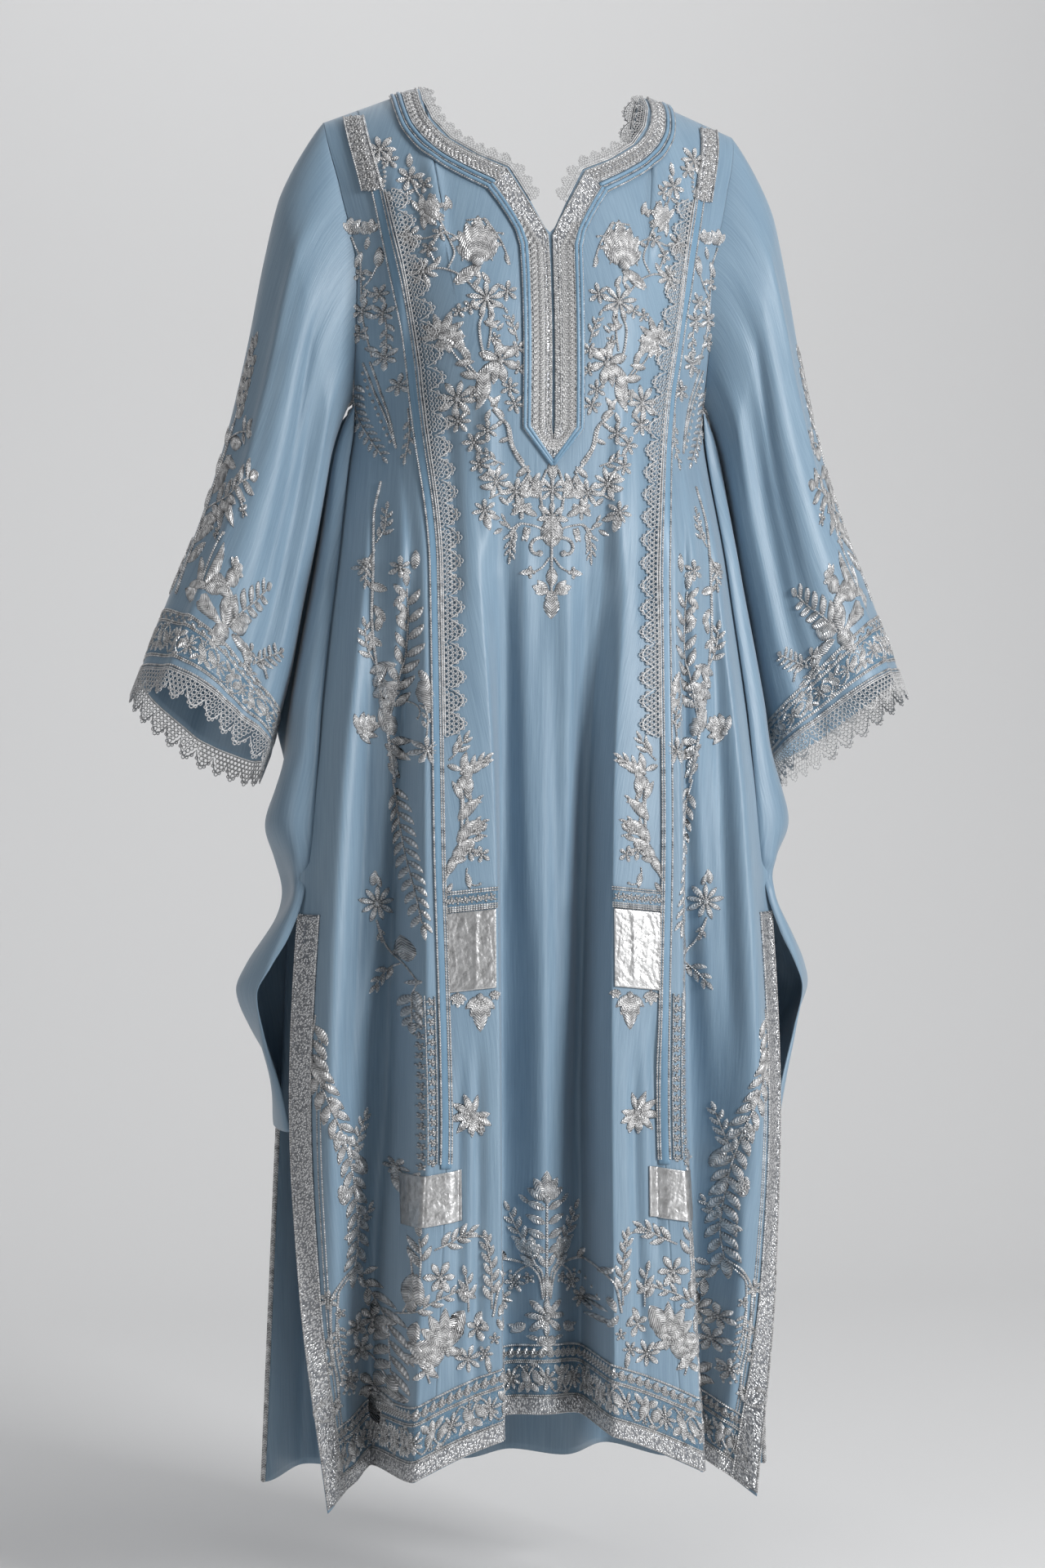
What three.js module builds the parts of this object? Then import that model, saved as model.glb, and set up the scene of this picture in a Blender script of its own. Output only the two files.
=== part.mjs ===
// Kaftan kurti: a long side-draped tunic with wide sleeves, filled out as if worn.
// Millimetres, +Z up. The front faces -Y. The origin is between the two high points of the shoulders.
import * as THREE from "three";

// Driving sizes
const CLOTH = 1.5; // wall of the cloth
const SEAM = 0.3; // gap between sewn pieces
const CHEST_Z = -265; // underarm level, where the shoulder dome ends
const SLIT_Z = -886; // top of the side slits
const CHEST_DEPTH = 118;
const BACK_DEPTH = 90;
const NECK_HALF = 97; // half width of the neck at the shoulder
const NECK_POINT_Z = -137;
const BACK_NECK_Z = -131;
const TIP_X = 177; // shoulder tip, where the sleeve is set in
const TIP_Z = -31;
const ARCH_POWER = 2.6; // how squarely the chest turns to the sides
const ZARI_HEIGHT = 14; // woven silver edge of the hem
const BORDER_HEIGHT = 58; // hem border with the zari
const BORDER_LIFT = 0.4;
const BORDER_WALL = 0.8;
const LACE_WALL = 0.9;
const LACE_LIFT = 1.1;
const PRINCESS_LINE = 3; // index of the fold line that carries the lace and the seam
const EDGE_LINE = 6;
const HIGH_POINT_LINE = 2; // fold line that ends at the high point of the shoulder
const FOLDS_Z = -420; // level where the skirt's folds are full
const FOLDS_BLEND = 125; // height over which the folds fade into the chest
const HEM_LEVEL = -1170; // level where a column's width sets the height of its hem

// Fold lines of one front half, centre to side: where each crest or valley lies, at each level.
const FRONT_WIDTHS = [
  { z: 0, centre: 0, dip: 45, crestIn: 97, crestOut: 150, valley: 158, ridge: 168, edge: 177 },
  { z: -31, centre: 0, dip: 45, crestIn: 96, crestOut: 149, valley: 158, ridge: 168, edge: 177 },
  { z: -95, centre: 0, dip: 45, crestIn: 91, crestOut: 137, valley: 147, ridge: 156, edge: 165 },
  { z: -165, centre: 0, dip: 46, crestIn: 84, crestOut: 124, valley: 134, ridge: 144, edge: 152 },
  { z: -265, centre: 0, dip: 47, crestIn: 75, crestOut: 108, valley: 123, ridge: 139, edge: 152 },
  { z: -420, centre: 0, dip: 42, crestIn: 62, crestOut: 96, valley: 118, ridge: 148, edge: 171 },
  { z: -620, centre: 0, dip: 36, crestIn: 50, crestOut: 95, valley: 124, ridge: 168, edge: 197 },
  { z: -860, centre: 0, dip: 33, crestIn: 47, crestOut: 90, valley: 130, ridge: 178, edge: 210 },
  { z: -1010, centre: 0, dip: 33, crestIn: 47, crestOut: 96, valley: 138, ridge: 174, edge: 203 },
  { z: -1192, centre: 0, dip: 34, crestIn: 47, crestOut: 108, valley: 142, ridge: 157, edge: 181 },
];
const FRONT_DEPTHS = [
  { z: -420, centre: 112, dip: 106, crestIn: 118, crestOut: 107, valley: 92, ridge: 72, edge: 26 },
  { z: -620, centre: 99, dip: 78, crestIn: 126, crestOut: 122, valley: 64, ridge: 82, edge: 42 },
  { z: -860, centre: 93, dip: 64, crestIn: 134, crestOut: 131, valley: 50, ridge: 89, edge: 46 },
  { z: -1192, centre: 87, dip: 64, crestIn: 150, crestOut: 151, valley: 26, ridge: 50, edge: 80 },
];
const FRONT_LINES = ["centre", "dip", "crestIn", "crestOut", "valley", "ridge", "edge"];

// Fold lines of one back half.
const BACK_WIDTHS = [
  { z: 0, centre: 0, inner: 48, crest: 97, valley: 133, ridge: 157, edge: 177 },
  { z: -31, centre: 0, inner: 48, crest: 96, valley: 133, ridge: 157, edge: 177 },
  { z: -95, centre: 0, inner: 48, crest: 91, valley: 122, ridge: 145, edge: 165 },
  { z: -165, centre: 0, inner: 46, crest: 84, valley: 114, ridge: 134, edge: 152 },
  { z: -265, centre: 0, inner: 42, crest: 78, valley: 108, ridge: 132, edge: 152 },
  { z: -420, centre: 0, inner: 40, crest: 76, valley: 110, ridge: 144, edge: 171 },
  { z: -620, centre: 0, inner: 42, crest: 84, valley: 122, ridge: 163, edge: 198 },
  { z: -880, centre: 0, inner: 44, crest: 90, valley: 132, ridge: 176, edge: 210 },
  { z: -1192, centre: 0, inner: 44, crest: 92, valley: 138, ridge: 184, edge: 222 },
];
const BACK_DEPTHS = [
  { z: -420, centre: 96, inner: 92, crest: 93, valley: 82, ridge: 68, edge: 26 },
  { z: -620, centre: 98, inner: 85, crest: 105, valley: 76, ridge: 86, edge: 44 },
  { z: -880, centre: 101, inner: 79, crest: 117, valley: 72, ridge: 100, edge: 52 },
  { z: -1192, centre: 106, inner: 76, crest: 128, valley: 74, ridge: 112, edge: 64 },
];
const BACK_LINES = ["centre", "inner", "crest", "valley", "ridge", "edge"];

// Half depth of the armhole edge, front and back alike, before the dome of the shoulder narrows it.
const ARMHOLE_DEPTH = [
  { z: -265, depth: 3 },
  { z: -245, depth: 15 },
  { z: -200, depth: 34 },
  { z: -150, depth: 44 },
  { z: -31, depth: 46 },
];
// Half width of the neck opening.
const FRONT_NECK = [
  { z: -137, half: 0 },
  { z: -133, half: 4 },
  { z: -110, half: 15 },
  { z: -80, half: 31 },
  { z: -69, half: 56 },
  { z: -54, half: 78 },
  { z: -36, half: 91 },
  { z: -16, half: 97 },
  { z: 0, half: 97 },
];
const BACK_NECK = [
  { z: -131, half: 0 },
  { z: -128, half: 22 },
  { z: -116, half: 50 },
  { z: -95, half: 74 },
  { z: -70, half: 89 },
  { z: -42, half: 97 },
  { z: 0, half: 97 },
];

// Side drape: its fold edge over the front, its outline, and its seam on the back.
const DRAPE = [
  { z: -292, frontX: 150, free: 0, depth: 0, outX: 162, backX: 150 },
  { z: -320, frontX: 154, free: 0, depth: 0, outX: 169, backX: 154 },
  { z: -356, frontX: 159, free: 0, depth: 0, outX: 175, backX: 159 },
  { z: -410, frontX: 166, free: 0, depth: 0, outX: 184, backX: 166 },
  { z: -479, frontX: 175, free: 0, depth: 0, outX: 197, backX: 175 },
  { z: -523, frontX: 180, free: 0, depth: 0, outX: 204.5, backX: 181 },
  { z: -562, frontX: 184, free: 0, depth: 0, outX: 210, backX: 185 },
  { z: -596, frontX: 188, free: 0, depth: 0, outX: 218, backX: 189 },
  { z: -630, frontX: 191, free: 0, depth: 0, outX: 227, backX: 193 },
  { z: -655, frontX: 194, free: 0, depth: 0, outX: 222, backX: 195 },
  { z: -682, frontX: 200, free: 0.5, depth: 50, outX: 217, backX: 196 },
  { z: -718, frontX: 213, free: 1, depth: 47, outX: 228, backX: 198 },
  { z: -745, frontX: 228, free: 1, depth: 38, outX: 238, backX: 199 },
  { z: -768, frontX: 238, free: 1, depth: 24, outX: 245, backX: 200 },
  { z: -800, frontX: 232, free: 1, depth: 20, outX: 240, backX: 200 },
  { z: -840, frontX: 220, free: 1, depth: 28, outX: 227, backX: 201 },
  { z: -882, frontX: 208, free: 1, depth: 37, outX: 218, backX: 200 },
];
const DRAPE_COLUMNS = 10;
const DRAPE_SQUARE = 0.6; // how fast the drape swings out from its front edge
const DRAPE_LIFT = 1; // gap between the drape's seam allowance and the panel under it

// Sleeve sections: outer and inner points in the front view, half depth, and how far the front edge rises.
const SLEEVE = [
  { t: 0, outX: 177, outZ: -31, inX: 152, inZ: -265, half: 40, back: 0, rise: 0 },
  { t: 0.08, outX: 199, outZ: -60, inX: 162, inZ: -282, half: 47, back: 2, rise: 0 },
  { t: 0.18, outX: 213, outZ: -92, inX: 169, inZ: -309, half: 51, back: 5, rise: 0 },
  { t: 0.32, outX: 227, outZ: -150, inX: 176, inZ: -350, half: 53, back: 9, rise: 2 },
  { t: 0.48, outX: 240, outZ: -218, inX: 184, inZ: -397, half: 54, back: 12, rise: 5 },
  { t: 0.64, outX: 259, outZ: -300, inX: 194, inZ: -447, half: 56, back: 14, rise: 9 },
  { t: 0.78, outX: 283, outZ: -376, inX: 203, inZ: -497, half: 58, back: 15, rise: 13 },
  { t: 0.88, outX: 306, outZ: -432, inX: 211, inZ: -530, half: 60, back: 16, rise: 16 },
  { t: 1, outX: 331, outZ: -498, inX: 221, inZ: -567, half: 63, back: 16, rise: 20 },
];
const SLEEVE_COLUMNS = 20;
const ARMHOLE_GAP = 1.3;
const ARMHOLE_BLEND = 0.2; // share of the sleeve over which it rounds off from the armhole
const CUFF_LACE_DROP = 22;
// Lengthwise folds of the sleeve: angle round it, half width, depth, and where it is deepest.
const SLEEVE_FOLDS = [
  { angle: 0.62, width: 0.3, depth: 5, deepest: 0.42 },
  { angle: 1.35, width: 0.3, depth: -4, deepest: 0.55 },
  { angle: 2.1, width: 0.28, depth: 9, deepest: 0.5 },
  { angle: 2.62, width: 0.24, depth: -6, deepest: 0.4 },
  { angle: 4.1, width: 0.3, depth: 6, deepest: 0.5 },
  { angle: 5.2, width: 0.32, depth: 5, deepest: 0.6 },
];

const MIRROR = [
  { side: "left", sign: -1 },
  { side: "right", sign: 1 },
];

// Small maths

const clamp = (v, low, high) => Math.min(high, Math.max(low, v));
const mix = (a, b, f) => a + (b - a) * f;
const ease = (f) => {
  const c = clamp(f, 0, 1);
  return c * c * (3 - 2 * c);
};

// A table column as a function of its key, joined by straight lines or by a smooth cubic.
function column(rows, name, smooth = true, key = "z") {
  const sorted = [...rows].sort((a, b) => a[key] - b[key]);
  const xs = sorted.map((r) => r[key]);
  const ys = sorted.map((r) => r[name]);
  const slope = (i) => (ys[i + 1] - ys[i]) / (xs[i + 1] - xs[i]);
  const tangents = xs.map((_, i) => {
    if (i === 0 || i === xs.length - 1) return slope(i === 0 ? 0 : i - 1);
    const [before, after] = [slope(i - 1), slope(i)];
    return before * after <= 0 ? 0 : (2 * before * after) / (before + after);
  });
  return (x) => {
    const at = clamp(x, xs[0], xs[xs.length - 1]);
    let i = 0;
    while (i < xs.length - 2 && at > xs[i + 1]) i++;
    const step = xs[i + 1] - xs[i];
    const f = (at - xs[i]) / step;
    if (!smooth) return mix(ys[i], ys[i + 1], f);
    const bend =
      (tangents[i] * step - (ys[i + 1] - ys[i])) * (1 - f) -
      (tangents[i + 1] * step - (ys[i + 1] - ys[i])) * f;
    return mix(ys[i], ys[i + 1], f) + f * (1 - f) * bend;
  };
}

const v3 = (x, y, z) => new THREE.Vector3(x, y, z);
const steps = (count) => Array.from({ length: count + 1 }, (_, i) => i / count);

// Grids of points

// A grid has rows of points, each with its normal. A wrapped grid closes on itself along its rows.
function gridOf(rows, { wrap = false, flip = false, tune = null } = {}) {
  const last = rows.length - 1;
  const width = rows[0].length;
  const across = (r, j) => (wrap ? r[(j + width) % width] : r[clamp(j, 0, width - 1)]);
  const normals = rows.map((r, i) =>
    r.map((_, j) => {
      const along = across(r, j + 1).clone().sub(across(r, j - 1));
      const up = rows[Math.min(i + 1, last)][j].clone().sub(rows[Math.max(i - 1, 0)][j]);
      const n = along.cross(up).normalize();
      if (flip) n.negate();
      if (tune) tune(n, i, j);
      return n.normalize();
    }),
  );
  return { rows, normals, wrap };
}

const raise = (grid, lift) =>
  grid.rows.map((r, i) => r.map((p, j) => p.clone().addScaledVector(grid.normals[i][j], lift)));

// Part of a grid, by its first and last rows and columns.
function cut(grid, [i0, i1], [j0, j1]) {
  const take = (rows) => rows.slice(i0, i1 + 1).map((r) => r.slice(j0, j1 + 1));
  return { rows: take(grid.rows), normals: take(grid.normals), wrap: false };
}

// The volume inside a closed mesh, negative where its faces point in.
function signedVolume(positions, index) {
  const at = (k) => v3(positions[3 * k], positions[3 * k + 1], positions[3 * k + 2]);
  let sum = 0;
  for (let k = 0; k < index.length; k += 3) {
    sum += at(index[k]).dot(at(index[k + 1]).cross(at(index[k + 2]))) / 6;
  }
  return sum;
}

// A closed mesh with its faces turned out.
function closed(positions, index) {
  if (signedVolume(positions, index) < 0) index.reverse();
  const geometry = new THREE.BufferGeometry();
  geometry.setAttribute("position", new THREE.Float32BufferAttribute(positions, 3));
  geometry.setIndex(index);
  return geometry;
}

// A closed wall between two matching sets of rows of points: the low face, the high face and the rim.
function wall(low, high, wrap = false) {
  const height = low.length;
  const width = low[0].length;
  const positions = [low, high].flat(2).flatMap((p) => [p.x, p.y, p.z]);
  const at = (layer, i, j) => (layer * height + i) * width + (j % width);
  const index = [];
  const quad = (a, b, c, d) => index.push(a, b, c, a, c, d);
  const [top, end] = [height - 1, width - 1];
  const cells = wrap ? width : end;
  for (let i = 0; i < top; i++) {
    for (let j = 0; j < cells; j++) {
      quad(at(1, i, j), at(1, i, j + 1), at(1, i + 1, j + 1), at(1, i + 1, j));
      quad(at(0, i, j), at(0, i + 1, j), at(0, i + 1, j + 1), at(0, i, j + 1));
    }
  }
  for (let j = 0; j < cells; j++) {
    quad(at(0, 0, j), at(0, 0, j + 1), at(1, 0, j + 1), at(1, 0, j));
    quad(at(0, top, j), at(1, top, j), at(1, top, j + 1), at(0, top, j + 1));
  }
  for (let i = 0; i < top && !wrap; i++) {
    quad(at(0, i, 0), at(1, i, 0), at(1, i + 1, 0), at(0, i + 1, 0));
    quad(at(0, i, end), at(0, i + 1, end), at(1, i + 1, end), at(1, i, end));
  }
  return closed(positions, index);
}

const cloth = (grid) => wall(raise(grid, -CLOTH), grid.rows, grid.wrap);
const trim = (grid, lift, thickness) =>
  wall(raise(grid, lift), raise(grid, lift + thickness), grid.wrap);

// The place on a grid's facets that is seen at (x, z) from the front or the back, moved out by lift.
function onto(grid, x, z, lift, facing = -1) {
  let best = null;
  const tryTriangle = (a, b, c) => {
    const [pa, pb, pc] = [a, b, c].map(([i, j]) => grid.rows[i][j]);
    const area = (pb.x - pa.x) * (pc.z - pa.z) - (pc.x - pa.x) * (pb.z - pa.z);
    if (Math.abs(area) < 1e-9) return;
    const wb = ((x - pa.x) * (pc.z - pa.z) - (pc.x - pa.x) * (z - pa.z)) / area;
    const wc = ((pb.x - pa.x) * (z - pa.z) - (x - pa.x) * (pb.z - pa.z)) / area;
    const wa = 1 - wb - wc;
    if (Math.min(wa, wb, wc) < -1e-6) return;
    const blend = (from) =>
      [a, b, c]
        .map(([i, j]) => from[i][j])
        .reduce((sum, p, k) => sum.addScaledVector(p, [wa, wb, wc][k]), v3(0, 0, 0));
    const point = blend(grid.rows);
    if (!best || (point.y - best.point.y) * facing > 0) {
      best = { point, normal: blend(grid.normals).normalize() };
    }
  };
  for (let i = 0; i < grid.rows.length - 1; i++) {
    for (let j = 0; j < grid.rows[0].length - (grid.wrap ? 0 : 1); j++) {
      const k = (j + 1) % grid.rows[0].length;
      tryTriangle([i, j], [i, k], [i + 1, k]);
      tryTriangle([i, j], [i + 1, k], [i + 1, j]);
    }
  }
  if (!best) throw new Error(`nothing of the cloth lies at ${x}, ${z}`);
  return best.point.addScaledVector(best.normal, lift);
}

// The body

const shoulderZ = (x) =>
  Math.abs(x) < NECK_HALF ? 0 : (TIP_Z * (Math.abs(x) - NECK_HALF)) / (TIP_X - NECK_HALF);
const armholeDepth = column(ARMHOLE_DEPTH, "depth");
const BUST = { x: 72, z: -215, wide: 40, high: 58, swell: 13 };

// Depth of the chest or the shoulder blades: an arch across, closed to the shoulder seam by a quarter
// ellipse.
function chestDepth(x, z, edge, deepest, swell) {
  const across = Math.abs(x) / edge;
  const side = z > CHEST_Z ? armholeDepth(z) : armholeDepth(CHEST_Z);
  const rise = clamp((z - CHEST_Z) / (shoulderZ(x) - CHEST_Z), 0, 1);
  const far = ((Math.abs(x) - BUST.x) / BUST.wide) ** 2 + ((z - BUST.z) / BUST.high) ** 2;
  const bust = swell * Math.exp(-far / 2);
  const arch = side + (deepest - side) * (1 - across ** ARCH_POWER);
  return (arch + bust * (1 - across ** 4)) * Math.sqrt(1 - rise * rise) + SEAM;
}

// Past the princess line the front hangs level for this share of the way to the next valley.
const HELD_SHARE = 0.35;

// A half panel as a function of its fold line coordinate q (0 at the centre) and its height z.
function halfPanel({ widths, depths, lines, deepest, swell, facing, held }) {
  const width = lines.map((name) => column(widths, name));
  const depth = lines.map((name) => column(depths, name));
  const last = lines.length - 1;
  const x = (q, z) => {
    const k = Math.min(Math.floor(q), last - 1);
    return mix(width[k](z), width[k + 1](z), q - k);
  };
  const y = (q, z) => {
    const k = Math.min(Math.floor(q), last - 1);
    const turn = k === held ? (q - k - HELD_SHARE) / (1 - HELD_SHARE) : q - k;
    const folded = mix(depth[k](z), depth[k + 1](z), ease(turn));
    const smooth = chestDepth(x(q, z), z, width[last](z), deepest, swell);
    return mix(folded, smooth, ease((z - FOLDS_Z) / FOLDS_BLEND));
  };
  return { x, at: (q, z) => v3(x(q, z), facing * y(q, z), z) };
}

const frontHalf = halfPanel({
  widths: FRONT_WIDTHS,
  depths: FRONT_DEPTHS,
  lines: FRONT_LINES,
  held: 3,
  deepest: CHEST_DEPTH,
  swell: BUST.swell,
  facing: -1,
});
const backHalf = halfPanel({
  widths: BACK_WIDTHS,
  depths: BACK_DEPTHS,
  lines: BACK_LINES,
  deepest: BACK_DEPTH,
  swell: 0,
  facing: 1,
});

// Height where a column ends: on the neck inside the high point line, and on the shoulder seam beyond it.
function topZ(half, q, neck, lowest) {
  if (q >= HIGH_POINT_LINE) {
    let z = 0;
    for (let n = 0; n < 20; n++) z = shoulderZ(half.x(q, z));
    return z;
  }
  const opening = column(neck, "half", false);
  let [low, high] = [lowest, 0];
  for (let n = 0; n < 40; n++) {
    const middle = (low + high) / 2;
    if (opening(middle) < half.x(q, middle)) low = middle;
    else high = middle;
  }
  return (low + high) / 2;
}

const frontHem = (x) => -1114 - 78 * (Math.abs(x) / 185) ** 1.6;
const backHem = (x) => -1184 - 12 * (Math.abs(x) / 222) ** 2;

// The heights of one column from hem to top: border, skirt below and above the slit top, and dome.
function columnHeights(hem, top, seamZ, { slit, upper, dome: domeRows }) {
  const border = [hem, hem + ZARI_HEIGHT, hem + BORDER_HEIGHT];
  const slitTop = (SLIT_Z - backHem(0) - BORDER_HEIGHT) / (CHEST_Z - backHem(0) - BORDER_HEIGHT);
  const shares = [
    ...steps(slit).slice(1).map((f) => f * slitTop),
    ...steps(upper).slice(1).map((f) => mix(slitTop, 1, f)),
  ];
  const skirt = shares.map((f) => mix(hem + BORDER_HEIGHT, CHEST_Z, f));
  const full = Math.asin(clamp((top - CHEST_Z) / (seamZ - CHEST_Z), 0, 1));
  const dome = steps(domeRows)
    .slice(1)
    .map((f) => CHEST_Z + (seamZ - CHEST_Z) * Math.sin(f * full));
  return [...border, ...skirt, ...dome];
}

function bodyGrid(half, qs, neck, lowest, hemOf, facing, counts) {
  const columns = qs.map((q) => {
    const top = topZ(half, q, neck, lowest);
    const hemX = half.x(q, HEM_LEVEL);
    const seamZ = shoulderZ(half.x(q, top));
    return columnHeights(hemOf(hemX), top, seamZ, counts).map((z) => half.at(q, z));
  });
  const mirrored = (p) => v3(-p.x, p.y, p.z);
  const rows = columns[0].map((_, i) => [
    ...columns.slice(1).reverse().map((c) => mirrored(c[i])),
    ...columns.map((c) => c[i].clone()),
  ]);
  const [top, edge] = [rows.length - 1, rows[0].length - 1];
  const underarm = rows.length - 1 - counts.dome;
  // Walls stay square to the seam planes at the shoulders and the armholes.
  const tune = (n, i, j) => {
    const p = rows[i][j];
    if (i === top && Math.abs(p.x) >= NECK_HALF - 1) n.y = 0;
    if ((j === 0 || j === edge) && i >= underarm) n.x = 0;
  };
  return gridOf(rows, { flip: facing > 0, tune });
}

const FRONT_QS = [
  0, 0.35, 0.7, 1, 1.3, 1.58, 1.8, 1.93, 2, 2.33, 2.67, 3, 3.25, 3.5, 3.75, 4, 4.35, 4.7, 5, 5.4, 6,
];
const BACK_QS = [0, 0.5, 1, 1.4, 1.75, 2, 2.5, 3, 3.5, 4, 4.55, 5];
const HALF_FRONT = FRONT_QS.length - 1;
const HALF_BACK = BACK_QS.length - 1;
const FRONT_ROWS = { slit: 3, upper: 8, dome: 7 };
const BACK_ROWS = { slit: 3, upper: 7, dome: 6 };
const SLIT_ROW = 2 + FRONT_ROWS.slit; // the row at the top of the slits
const front = bodyGrid(frontHalf, FRONT_QS, FRONT_NECK, NECK_POINT_Z, frontHem, -1, FRONT_ROWS);
const back = bodyGrid(backHalf, BACK_QS, BACK_NECK, BACK_NECK_Z, backHem, 1, BACK_ROWS);

// Columns of the whole front, from its left edge to its right edge.
const PRINCESS = FRONT_QS.indexOf(PRINCESS_LINE);
const FRONT_LAST = 2 * HALF_FRONT;
const BACK_LAST = 2 * HALF_BACK;
const FRONT_TOP = front.rows.length - 1;

// A vertical strip of the front, drawn back from its princess seams.
function frontPanel(j0, j1) {
  const panel = cut(front, [0, FRONT_TOP], [j0, j1]);
  panel.rows = panel.rows.map((row) =>
    row.map((p, j) => {
      const inset = j === 0 && j0 > 0 ? SEAM / 2 : j === j1 - j0 && j1 < FRONT_LAST ? -SEAM / 2 : 0;
      return p.clone().add(v3(inset, 0, 0));
    }),
  );
  return panel;
}

// Side drapes

function drapeGrid() {
  const get = Object.fromEntries(
    ["frontX", "free", "depth", "outX", "backX"].map((name) => [name, column(DRAPE, name)]),
  );
  const heights = DRAPE.map((r) => r.z);
  const rows = heights.map((z) => {
    const lift = DRAPE_LIFT + CLOTH;
    const hung = v3(get.frontX(z), -get.depth(z), z);
    const sewn = get.free(z) < 1 ? onto(front, get.frontX(z), z, lift) : hung;
    const start = sewn.lerp(hung, get.free(z));
    const end = onto(back, get.backX(z), z, lift, 1);
    return steps(DRAPE_COLUMNS).map((u) => {
      const straight = start.clone().lerp(end, u);
      const swing = Math.sin(Math.PI * u) ** DRAPE_SQUARE;
      const y = mix(start.y, end.y, (1 - Math.cos(Math.PI * u)) / 2);
      return v3(mix(straight.x, get.outX(z), swing), y, z);
    });
  });
  return gridOf(rows, { flip: true });
}

// Sleeves

const sleeveTable = Object.fromEntries(
  Object.keys(SLEEVE[0]).map((name) => [name, column(SLEEVE, name, true, "t")]),
);

function armholePoint(angle) {
  const middle = (TIP_Z + CHEST_Z) / 2;
  const z = middle + ((TIP_Z - CHEST_Z) / 2) * Math.cos(angle);
  const rise = (z - CHEST_Z) / (TIP_Z - CHEST_Z);
  const y = armholeDepth(z) * Math.sqrt(Math.max(0, 1 - rise * rise));
  const edge = frontHalf.x(EDGE_LINE, z);
  return v3(edge + ARMHOLE_GAP, -Math.sign(Math.round(Math.sin(angle) * 1e6)) * y, z);
}

// A sleeve ring: an ellipse between its outer and inner points, pressed in by the folds.
function sleevePoint(angle, t) {
  const s = Object.fromEntries(Object.entries(sleeveTable).map(([name, get]) => [name, get(t)]));
  const outer = v3(s.outX, s.back, s.outZ);
  const inner = v3(s.inX, s.back, s.inZ);
  const centre = outer.clone().lerp(inner, 0.5);
  const reach = outer.clone().sub(centre);
  const forward = v3(0, -s.half, s.rise);
  let pull = 0;
  for (const f of SLEEVE_FOLDS) {
    const off = Math.atan2(Math.sin(angle - f.angle), Math.cos(angle - f.angle));
    pull += f.depth * Math.exp(-((off / f.width) ** 2)) * ease(t / f.deepest) * (1.25 - t * 0.6);
  }
  const [c, d] = [Math.cos(angle), Math.sin(angle)];
  const offset = reach.multiplyScalar(c).addScaledVector(forward, d);
  const inward = offset.clone().normalize().multiplyScalar(-pull);
  const ring = centre.clone().add(offset).add(inward);
  return armholePoint(angle).lerp(ring, ease(t / ARMHOLE_BLEND));
}

const CUFF_BAND_START = 0.9235; // where the woven border of the cuff begins
const SLEEVE_ROWS = [0, 0.06, 0.11, 0.16, 0.23, 0.34, 0.46, 0.58, 0.7, 0.8, 0.87, CUFF_BAND_START, 1];
const CUFF_BAND_ROW = SLEEVE_ROWS.indexOf(CUFF_BAND_START);
function sleeveGrid() {
  const angles = steps(SLEEVE_COLUMNS).slice(0, -1).map((f) => f * 2 * Math.PI);
  const rows = SLEEVE_ROWS.map((t) => angles.map((a) => sleevePoint(a, t)));
  const tune = (n, i) => {
    if (i === 0) n.x = 0;
  };
  return gridOf(rows, { wrap: true, tune });
}

// Mirrored copy of a grid for the left side.
function turned(grid, sign) {
  if (sign > 0) return grid;
  const mirror = (rows) => rows.map((r) => r.map((p) => v3(-p.x, p.y, p.z)));
  return {
    rows: mirror(grid.rows),
    normals: mirror(grid.normals),
    wrap: grid.wrap,
  };
}

// Trims

// Rows of points from a path on the front view, each row crossing the path at set distances.
function alongPath(grid, path, offsets, facing = -1) {
  const rows = path.map((p, i) => {
    const before = path[Math.max(i - 1, 0)];
    const after = path[Math.min(i + 1, path.length - 1)];
    const [dx, dz] = [after.x - before.x, after.z - before.z];
    const length = Math.hypot(dx, dz);
    return (p.offsets ?? offsets).map((o) => ({
      x: p.x + (o * dz) / length,
      z: p.z - (o * dx) / length,
    }));
  });
  return (lift) => rows.map((r) => r.map((p) => onto(grid, p.x, p.z, lift, facing)));
}

// A band between two lifts over a path.
function band(grid, path, offsets, lift, thickness, facing = -1) {
  const at = alongPath(grid, path, offsets, facing);
  return wall(at(lift), at(lift + thickness));
}

// The princess line on the front view, from z to z.
function princessPath(from, to, count, offset = 0) {
  return steps(count).map((f) => {
    const z = mix(from, to, f);
    return { x: frontHalf.x(PRINCESS_LINE, z) + offset, z };
  });
}

const LACE = { from: -98, to: -552, scallops: 24, root: 4.4, narrow: 8, wide: 16 };
const SHOULDER_BAND = { from: -35, to: -96, width: 15 };
function shoulderBand(sign) {
  const path = princessPath(SHOULDER_BAND.from, SHOULDER_BAND.to, 8, -LACE.root).map((p) => ({
    x: sign * p.x,
    z: p.z,
  }));
  const outward = sign * SHOULDER_BAND.width;
  return band(front, path, [0, outward / 2, outward], LACE_LIFT, LACE_WALL);
}

function princessLace(sign) {
  const path = princessPath(LACE.from, LACE.to, LACE.scallops * 2, -LACE.root).map((p, i) => ({
    x: sign * p.x,
    z: p.z,
    offsets: [0, sign * (i % 2 ? LACE.wide : LACE.narrow)],
  }));
  return band(front, path, null, LACE_LIFT, LACE_WALL);
}

// The piping along the princess seam, from the shoulder to the lower patch.
const PIPING = { share: 0.2, lift: 0.8, thickness: 1.2, lowRow: SLIT_ROW };
function princessPiping(sign) {
  const column = HALF_FRONT + sign * PRINCESS;
  const at = (lift) => {
    const raised = raise(front, lift).slice(PIPING.lowRow);
    return raised.map((row) =>
      [-1, 0, 1].map((side) => row[column].clone().lerp(row[column + side], side ? PIPING.share : 0)),
    );
  };
  return wall(at(PIPING.lift), at(PIPING.lift + PIPING.thickness));
}

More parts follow.
